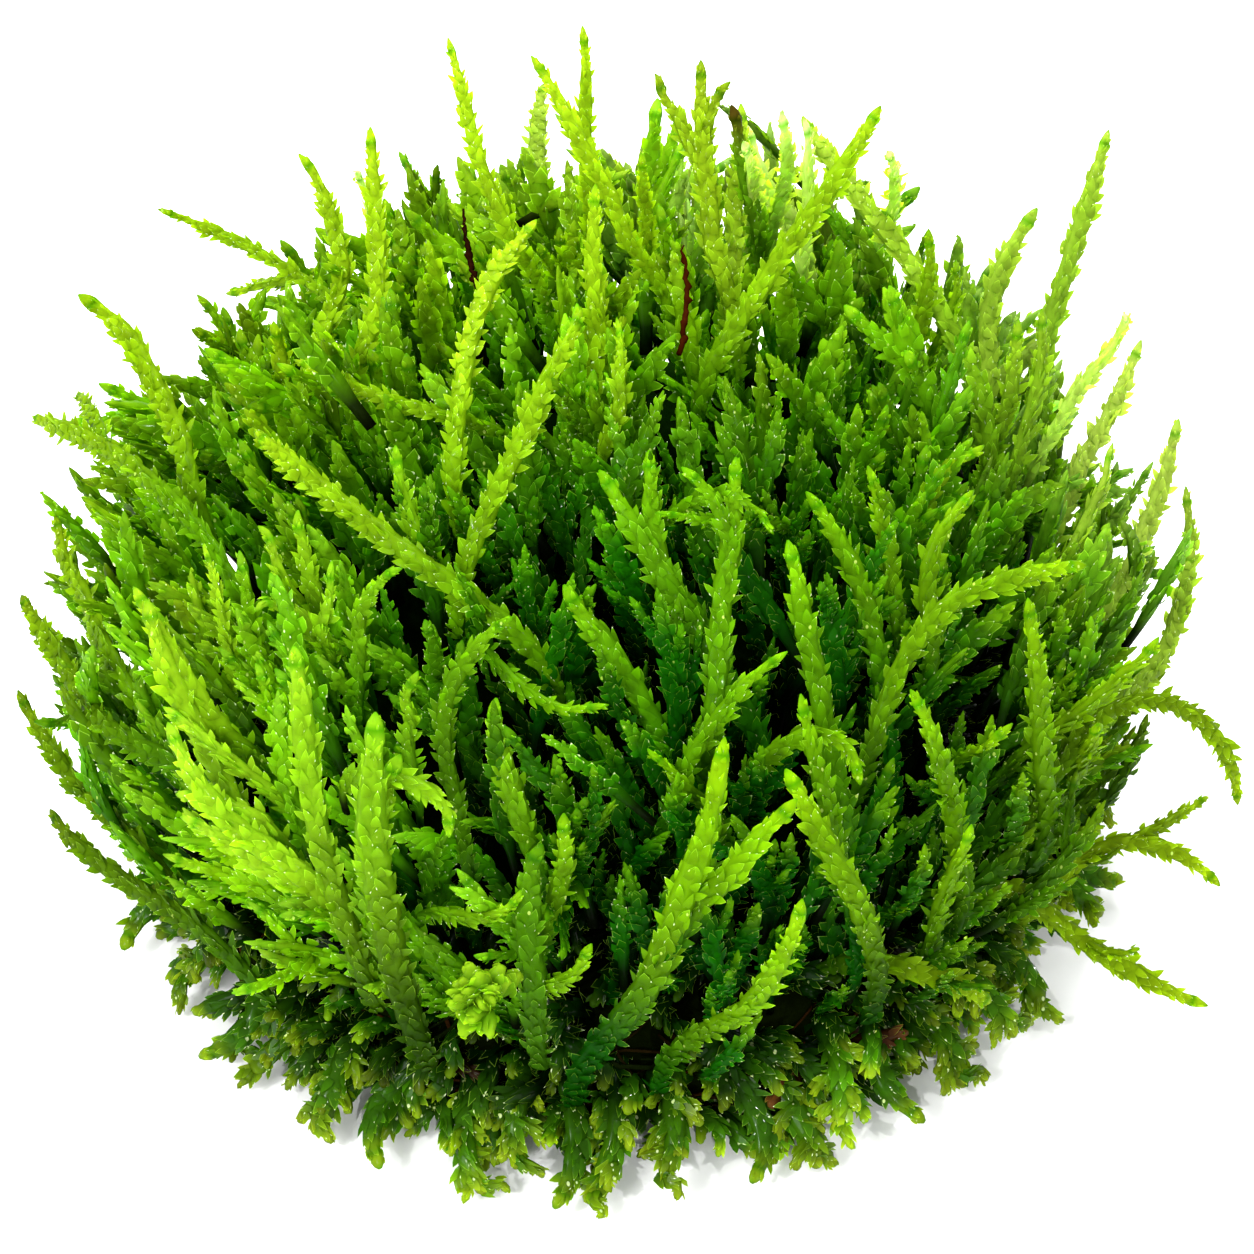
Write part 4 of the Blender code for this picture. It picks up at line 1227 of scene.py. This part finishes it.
def makeCushion():
    masses = {}
    growShortShoots(masses)
    growStrands(masses)
    addRosette(masses["front_left_mass"])
    for name, growth in masses.items():
        makePiece(name, growth, dryLeaf, "short_shoots", "cushion")
    makeHeart()
    print("cushion made:", {name: pieceTriangles[name] for name in masses})


makeCushion()


# the mat, its wet skirt and the shoots that lie round the foot
mat = {
    "halfSize": (25.6, 24.8, 9.5),
    "centre": (0.0, 0.6, 3.2),
    "top": 7.4,
    "trim": 0.4,                            # it is made this much higher, then cut flat at the top
    "wall": 0.66,                           # share of its rings that make the side, the rest close the top
    "wallRise": 1.5,
    "closed": 0.98,
    "lump": 0.9,
    "lumpSize": 5.0,
    "rough": 0.5,
    "roughSize": 1.3,
    "roughUnder": 0.6,                      # it is laid on from this far inside
    "roughUp": 2.0,                         # and points up a little
    "around": 220,
    "up": 26,
    "tone": "#0a1002",
}
matCentre = np.array(mat["centre"])
matHalf = np.array(mat["halfSize"])
wetTones = linearAll("#849c14", "#305c06", "#061c02")


def matToward(bearing, height):
    # unit vector from the mat's centre to its side at a height
    rise = (height - matCentre[2]) / matHalf[2]
    level = math.sqrt(1 - rise * rise)
    return unit(np.array([math.cos(bearing) * level, math.sin(bearing) * level, rise]) * matHalf)


def matRadius(toward):
    reach = 1.0 / np.linalg.norm(toward / matHalf)
    return reach + mat["lump"] * noise.noise(Vector(toward * reach / mat["lumpSize"]))


def makeMat():
    rings = []
    for j in range(mat["up"]):
        ring = []
        t = j / (mat["up"] - 1)
        height = (mat["top"] + mat["trim"]) * min(1.0, t * mat["wallRise"])
        shrink = 1 - max(0.0, t - mat["wall"]) / (1 - mat["wall"]) * mat["closed"]
        for i in range(mat["around"]):
            toward = matToward(2 * math.pi * i / mat["around"], height)
            point = matCentre + toward * matRadius(toward)
            point[:2] = matCentre[:2] + (point[:2] - matCentre[:2]) * shrink
            rough = mat["rough"] * noise.noise(Vector(point / mat["roughSize"])) - mat["roughUnder"]
            point = point + unit(np.array([point[0], point[1], mat["roughUp"]])) * rough
            point[2] = max(0.0, min(point[2], mat["top"])) if j else 0.0
            ring.append(point)
        rings.append(ring)
    points = np.array(rings)
    growth = newGrowth()
    addRings(growth, points, np.ones(points.shape) * linear(mat["tone"]))
    makePiece("mat_core", growth, litter, "stem_mat", "base_mat")


def addTube(growth, path, radii, tone, sides=4):
    at, across, sideways = framed(path, (0.3, 0.9, 0.2))
    turn = np.arange(sides) * 2 * math.pi / sides
    ring = np.cos(turn)[None, :, None] * across[:, None] + np.sin(turn)[None, :, None] * sideways[:, None]
    points = path[:, None] + radii[:, None, None] * ring
    addRings(growth, points, np.ones(points.shape) * tone)


fibres = {
    "count": 240,
    "length": (4.0, 11.0),
    "width": (0.14, 0.34),
    "taper": (0.5, 1, 1, 1, 1, 0.8, 0.3),   # of the width, at each point of a fibre
    "height": (0.4, 8.0),
    "slant": 1.2,                           # most radians from level
    "ringRadius": 24,                       # of the ring that they lie on
    "jitter": 0.18,
    "heights": (0.35, 9.0),
    "above": (-0.5, 0.25),                  # the mat's side
    "tones": ("#1c1206", "#2a1c0a", "#141e06", "#3a200c"),
}


def makeFibres():
    # old stems and fibres that lie tangled over the mat
    growth = newGrowth()
    draw = drawFor("fibres")
    taper = np.array(fibres["taper"])
    for _ in range(fibres["count"]):
        bearing = draw.uniform(0, 2 * math.pi)
        height = draw.uniform(*fibres["height"])
        slant = draw.uniform(-fibres["slant"], fibres["slant"])
        length = draw.uniform(*fibres["length"])
        path = []
        for k in range(len(taper)):
            s = (k / (len(taper) - 1) - 0.5) * length
            z = np.clip(height + math.sin(slant) * s + draw.normal(0, fibres["jitter"]), *fibres["heights"])
            toward = matToward(bearing + math.cos(slant) * s / fibres["ringRadius"], z)
            point = matCentre + toward * (matRadius(toward) + draw.uniform(*fibres["above"]))
            path.append((point[0], point[1], z))
        width = draw.uniform(*fibres["width"])
        tone = linear(fibres["tones"][draw.integers(len(fibres["tones"]))])
        addTube(growth, np.array(path), width / 2 * taper, tone)
    makePiece("mat_fibres", growth, litter, "stem_mat", "base_mat")


skirt = {
    "count": 760,
    "turn": 2.399963,                       # radians from one to the next, the golden angle
    "width": (1.1, 2.0),
    "length": (2.2, 5.4),
    "height": (0.7, 10.4),                  # where on the mat they start
    "inside": 1.6,                          # and how far in it
    "aside": 0.8,                           # how much they turn along the mat
    "rise": ((-1.1, 0.1), (-0.4, 1.0)),     # and down or up, from low and from high on the mat
    "archUp": (0.1, 1.1),
    "archAside": 0.4,
    "lowest": 0.6,
    "furthest": 29.6,
    "deadShare": 0.025,
    "toneJitter": 0.35,
    "shadeFrom": (3.0, 7.0),                # those that start high stand in the shade of the clump
    "upperShade": 0.42,
    "frontSide": 0.1,                       # y of the way out, below which it counts as the front
    "backShare": 0.6,                       # of them are made at the back
    "finelyMade": 5.5,                      # height up to which the front ones have finer leaves
    "look": {"clear": 2.5, "budLength": 1.6, "midAt": 1.2, "footAt": 3.6, "sway": 0.14, "leafLength": 0.9,
             "leafWidth": 0.44, "facePitch": 0.6, "turnOut": (12, 46), "spotDepth": 0.2},
}
deadTones = linearAll("#4a2c10", "#2c1608", "#120802")


def makeSkirt():
    # small sodden shoots every way round the foot, a few of them dead
    halves = {"skirt_front": newGrowth(), "skirt_back": newGrowth()}
    for i in range(skirt["count"]):
        draw = drawFor("skirt", i)
        height = draw.uniform(*skirt["height"])
        way, beside = levelWays(skirt["turn"] * i)
        share = math.sqrt(1 - ((height - matCentre[2]) / matHalf[2]) ** 2)
        low, high = (draw.uniform(*span) for span in skirt["rise"])
        rise = low + (high - low) * height / skirt["height"][1]
        root = way * (matHalf[0] * share - skirt["inside"])
        root[2] = height
        heading = unit(way + beside * draw.normal(0, skirt["aside"]) + np.array((0, 0, rise)))
        tip = root + heading * draw.uniform(*skirt["length"])
        tip[2] = max(tip[2], skirt["lowest"])
        tip[:2] = tip[:2] * min(1.0, skirt["furthest"] / np.linalg.norm(tip[:2]))
        middle = (root + tip) / 2 + np.array([0, 0, draw.uniform(*skirt["archUp"])])
        middle = middle + beside * draw.normal(0, skirt["archAside"])
        dead = draw.uniform() < skirt["deadShare"]
        shaded = 1 - (1 - skirt["upperShade"]) * smooth(*skirt["shadeFrom"], height)
        tones = (deadTones if dead else wetTones) * np.exp(draw.normal(0, skirt["toneJitter"])) * shaded
        inFront = way[1] < skirt["frontSide"]
        if not inFront and draw.uniform() > skirt["backShare"]:
            continue
        width = draw.uniform(*skirt["width"])
        shape = coarse if inFront and height < skirt["finelyMade"] else plain
        growth = halves["skirt_front" if inFront else "skirt_back"]
        addShoot(growth, bowed(root, middle, tip, points=10), width, tones, draw, shape, **skirt["look"])
    for name, growth in halves.items():
        makePiece(name, growth, wetLeaf, "foot_shoots", "base_mat")


fringe = {
    # bearing, reach, height of the tip, width
    "places": ((-148, 27.6, 1.4, 2.0), (-131, 28.4, 1.0, 1.9), (-122, 29.2, 0.9, 2.2), (-106, 29.4, 0.9, 2.0),
               (-100, 28.6, 2.2, 1.8), (-88, 29.4, 0.9, 2.1), (-82, 28.8, 1.6, 2.0), (-68, 29.4, 1.0, 2.2),
               (-62, 28.6, 2.4, 1.8), (-48, 29.0, 1.0, 2.2), (-41, 29.2, 2.2, 1.9), (-33, 29.0, 1.2, 2.0),
               (-22, 29.4, 2.6, 1.8), (-4, 29.0, 1.4, 1.9), (14, 29.2, 2.0, 1.8), (52, 28.6, 1.2, 2.0),
               (74, 28.4, 2.0, 1.8), (92, 28.6, 1.2, 2.0), (122, 28.8, 1.8, 1.9), (140, 28.6, 1.2, 2.0),
               (172, 29.0, 1.6, 1.8)),
    "startRadius": 21.0,
    "startHeight": 5.4,
    "tipAside": 1.2,
    "archIn": 2.6,                          # it bends down this far before its tip, and this high over it
    "toneJitter": 0.25,
    "lobes": 5,
    "lobeStep": 0.9,                        # from the tip to the first lobe, and to the next
    "lobeLength": (1.4, 2.4),
    "lobeAngle": (28, 62),
    "lobeArch": 0.15,
    "lobeLowest": 0.6,
    "lobeWidth": 0.72,
    "look": {"clear": 4.0, "budLength": 1.4, "midAt": 2.2, "footAt": 6.5, "sway": 0.16, "leafLength": 0.84,
             "leafWidth": 0.44, "turnOut": (10, 44), "spotDepth": 0.15},
    "tones": ("#869c14", "#3c6c06", "#0a2402"),
}


def makeFringe():
    # broad wet shoots with rounded lobes that hang down all round
    growth = newGrowth()
    for i, (bearing, reach, height, width) in enumerate(fringe["places"]):
        draw = drawFor("fringe", i)
        way, beside = levelWays(math.radians(bearing))
        root = way * fringe["startRadius"] + (0, 0, fringe["startHeight"])
        tip = way * reach + beside * draw.normal(0, fringe["tipAside"]) + (0, 0, height)
        middle = way * (reach - fringe["archIn"]) + (0, 0, height + fringe["archIn"])
        path = bowed(root, middle, tip, points=12)
        tones = linearAll(*fringe["tones"]) * np.exp(draw.normal(0, fringe["toneJitter"]))
        addShoot(growth, path, width, tones, draw, coarse, **fringe["look"])
        at, across, _ = framed(path, (0.0, 0.0, 1.0))
        for k in range(fringe["lobes"]):
            start = at[-1] - fringe["lobeStep"] * (k + 1)
            place = along(at, path, start)
            ahead = unit(path[-1] - place)
            turn = math.radians(draw.uniform(*fringe["lobeAngle"])) * (1 if k % 2 else -1)
            heading = ahead * math.cos(turn) + along(at, across, start) * math.sin(turn)
            end = place + heading * draw.uniform(*fringe["lobeLength"])
            end[2] = max(end[2], fringe["lobeLowest"])
            twig = bowed(place, (place + end) / 2 + (0, 0, fringe["lobeArch"]), end, points=6)
            addShoot(growth, twig, width * fringe["lobeWidth"], tones, draw, coarse, **fringe["look"])
    makePiece("fringe", growth, wetLeaf, "foot_shoots", "base_mat")


footShoots = {
    # name: (bearing), (reach from the middle), (bend in degrees)
    "foot_shoot_1": (-156, 29.4, 3),
    "foot_shoot_2": (-138, 29.6, -3),
    "foot_shoot_3": (-113, 30.0, 3),
    "foot_shoot_4": (-95, 30.4, -2),
    "foot_shoot_5": (-75, 29.6, -3),
    "foot_shoot_6": (-55, 29.8, 2),
    "foot_shoot_7": (-12, 30.0, 3),
    "foot_shoot_8": (32, 29.6, -3),
    "foot_shoot_9": (105, 29.4, 3),
    "foot_shoot_10": (155, 29.8, -3),
}
footLook = {"clear": 3.0, "budLength": 2.4, "midAt": 2.4, "footAt": 9.0}
footForm = {
    "width": 2.2,
    "points": 16,
    "rootRadius": 18.0,
    "edgeRadius": 24.5,                     # where it leaves the mat and starts to bend
    "rootHeight": 5.2,
    "fall": 3.7,                            # from there to the tip
    "slope": 0.8,                           # under 1, it falls early
    "bare": 4.0,
    "gain": 1.15,
}


def makeFootShoots():
    for i, (name, (bearing, reach, bend)) in enumerate(footShoots.items()):
        path = []
        for radius in np.linspace(footForm["rootRadius"], reach, footForm["points"]):
            share = max(0.0, (radius - footForm["edgeRadius"]) / (reach - footForm["edgeRadius"]))
            angle = math.radians(bearing + bend * (share - 1) * share * 4)
            height = footForm["rootHeight"] - footForm["fall"] * share ** footForm["slope"]
            path.append((radius * math.cos(angle), radius * math.sin(angle), height))
        growth = newGrowth()
        addShoot(growth, np.array(path), footForm["width"], wetTones * footForm["gain"], drawFor("foot", i),
                 bare=footForm["bare"], **footLook)
        makePiece(name.replace("shoot", "leaves"), growth, wetLeaf, "foot_shoots", name)


makeMat()
makeFibres()
makeSkirt()
makeFringe()
makeFootShoots()
print("mat, skirt and foot shoots made")


# bare old stems: (foot), (middle), (tip), how far the tip stands off the cushion, width, tone
oldStems = {
    "old_stem_1": ((152, 19), (144, 21), (136, 23), 3.6, 0.32, "#100602"),
    "old_stem_2": ((-36, 12), (-13, 10), (15, 9), 3.6, 0.34, "#2c0c00"),
}
stemForm = {"rooted": 4, "jitter": 0.05, "taper": 0.7, "taperCurve": 3, "uneven": 0.22, "sides": 8}


def makeOldStems():
    for i, (name, (foot, middle, tip, reach, width, tone)) in enumerate(oldStems.items()):
        draw = drawFor("stem", i)
        path = shootPath(foot, middle, tip, reach, width)
        path = np.vstack([path[:1] + (path[0] - path[1]) * stemForm["rooted"], path])
        path = path + draw.normal(0, stemForm["jitter"], path.shape)
        t = np.linspace(0, 1, len(path))
        radii = width / 2 * (1 - stemForm["taper"] * t ** stemForm["taperCurve"])
        radii = radii * np.exp(draw.normal(0, stemForm["uneven"], len(path)))
        growth = newGrowth()
        addTube(growth, path, radii, linear(tone), stemForm["sides"])
        makePiece(name.replace("stem", "stalk"), growth, bark, "old_stems", name)
    print("old stems made:", len(oldStems))


makeOldStems()
print("triangles:", sum(pieceTriangles.values()), "most in one piece:", max(pieceTriangles.values()))


# floor, light and camera
studio = {                                  # in metres and watts
    "floorSize": 1.6,
    "floor": "#f6f6f6",
    "floorRoughness": (0.62, 0.7),
    "world": 0.75,
    "aim": (0.0, 0.0, 0.015),
    # power, size, place
    "top": (5.0, 0.35, (-0.04, 0.16, 0.42)),
    "front": (2.2, 0.22, (-0.26, -0.30, 0.30)),
    "spark": (0.6, 0.006),                  # small lamps that only show as glints on wet leaves
    "sparkPlaces": ((-0.22, -0.24, 0.30), (0.26, -0.12, 0.32), (0.02, -0.34, 0.20)),
}
lens = {
    "target": (1.2, 0.0, 15.0),
    "distance": 210.0,
    "elevation": 42.0,
    "sensor": 36.0,
    "length": 108.5,
}


def makeFloor():
    # a plain matt white table: an even pale ground with soft shadows
    material, tree = newMaterial("white_table")
    place = addNode(tree, "ShaderNodeTexCoord")
    cloud = addNode(tree, "ShaderNodeTexNoise", {"Scale": 6.0}, {"Vector": place.outputs["Object"]})
    level = addNode(tree, "ShaderNodeMapRange", dict(enumerate(studio["floorRoughness"], 3)),
                    {0: cloud.outputs["Fac"]})
    surface = addNode(tree, "ShaderNodeBsdfPrincipled", {"Base Color": rgba(studio["floor"])},
                      {"Roughness": level.outputs[0]})
    addNode(tree, "ShaderNodeOutputMaterial", {}, {"Surface": surface.outputs[0]})
    half = studio["floorSize"] / 2
    corners = [(-half, -half, 0), (half, -half, 0), (half, half, 0), (-half, half, 0)]
    mesh = bpy.data.meshes.new("floor")
    mesh.from_pydata(corners, [], [(0, 1, 2, 3)])
    mesh.materials.append(material)
    floor = bpy.data.objects.new("floor", mesh)
    bpy.context.scene.collection.objects.link(floor)


def makeLights():
    world = bpy.data.worlds.new("studio")
    bpy.context.scene.world = world
    world.use_nodes = True
    world.node_tree.nodes["Background"].inputs[0].default_value = (1.0, 1.0, 1.0, 1.0)
    world.node_tree.nodes["Background"].inputs[1].default_value = studio["world"]
    lamps = {"top": studio["top"], "front": studio["front"]}
    for i, place in enumerate(studio["sparkPlaces"]):
        lamps[f"spark_{i + 1}"] = (*studio["spark"], place)
    for name, (power, size, place) in lamps.items():
        lamp = bpy.data.lights.new(name + "_lamp", "AREA")
        lamp.energy = power
        lamp.size = size
        item = bpy.data.objects.new(name + "_lamp", lamp)
        item.location = place
        item.rotation_euler = (Vector(studio["aim"]) - item.location).to_track_quat("-Z", "Y").to_euler()
        bpy.context.scene.collection.objects.link(item)


def makeCamera():
    camera = bpy.data.cameras.new("camera")
    camera.sensor_width = lens["sensor"]
    camera.lens = lens["length"]
    camera.clip_start = 0.01
    item = bpy.data.objects.new("camera", camera)
    target = Vector(lens["target"]) * mm
    rise = math.radians(lens["elevation"])
    back = Vector((0.0, -math.cos(rise), math.sin(rise))) * lens["distance"] * mm
    item.location = target + back
    item.rotation_euler = (-back).to_track_quat("-Z", "Y").to_euler()
    bpy.context.scene.collection.objects.link(item)
    bpy.context.scene.camera = item


makeFloor()
makeLights()
makeCamera()
bpy.context.scene.view_settings.view_transform = "Standard"
print("studio and camera set")
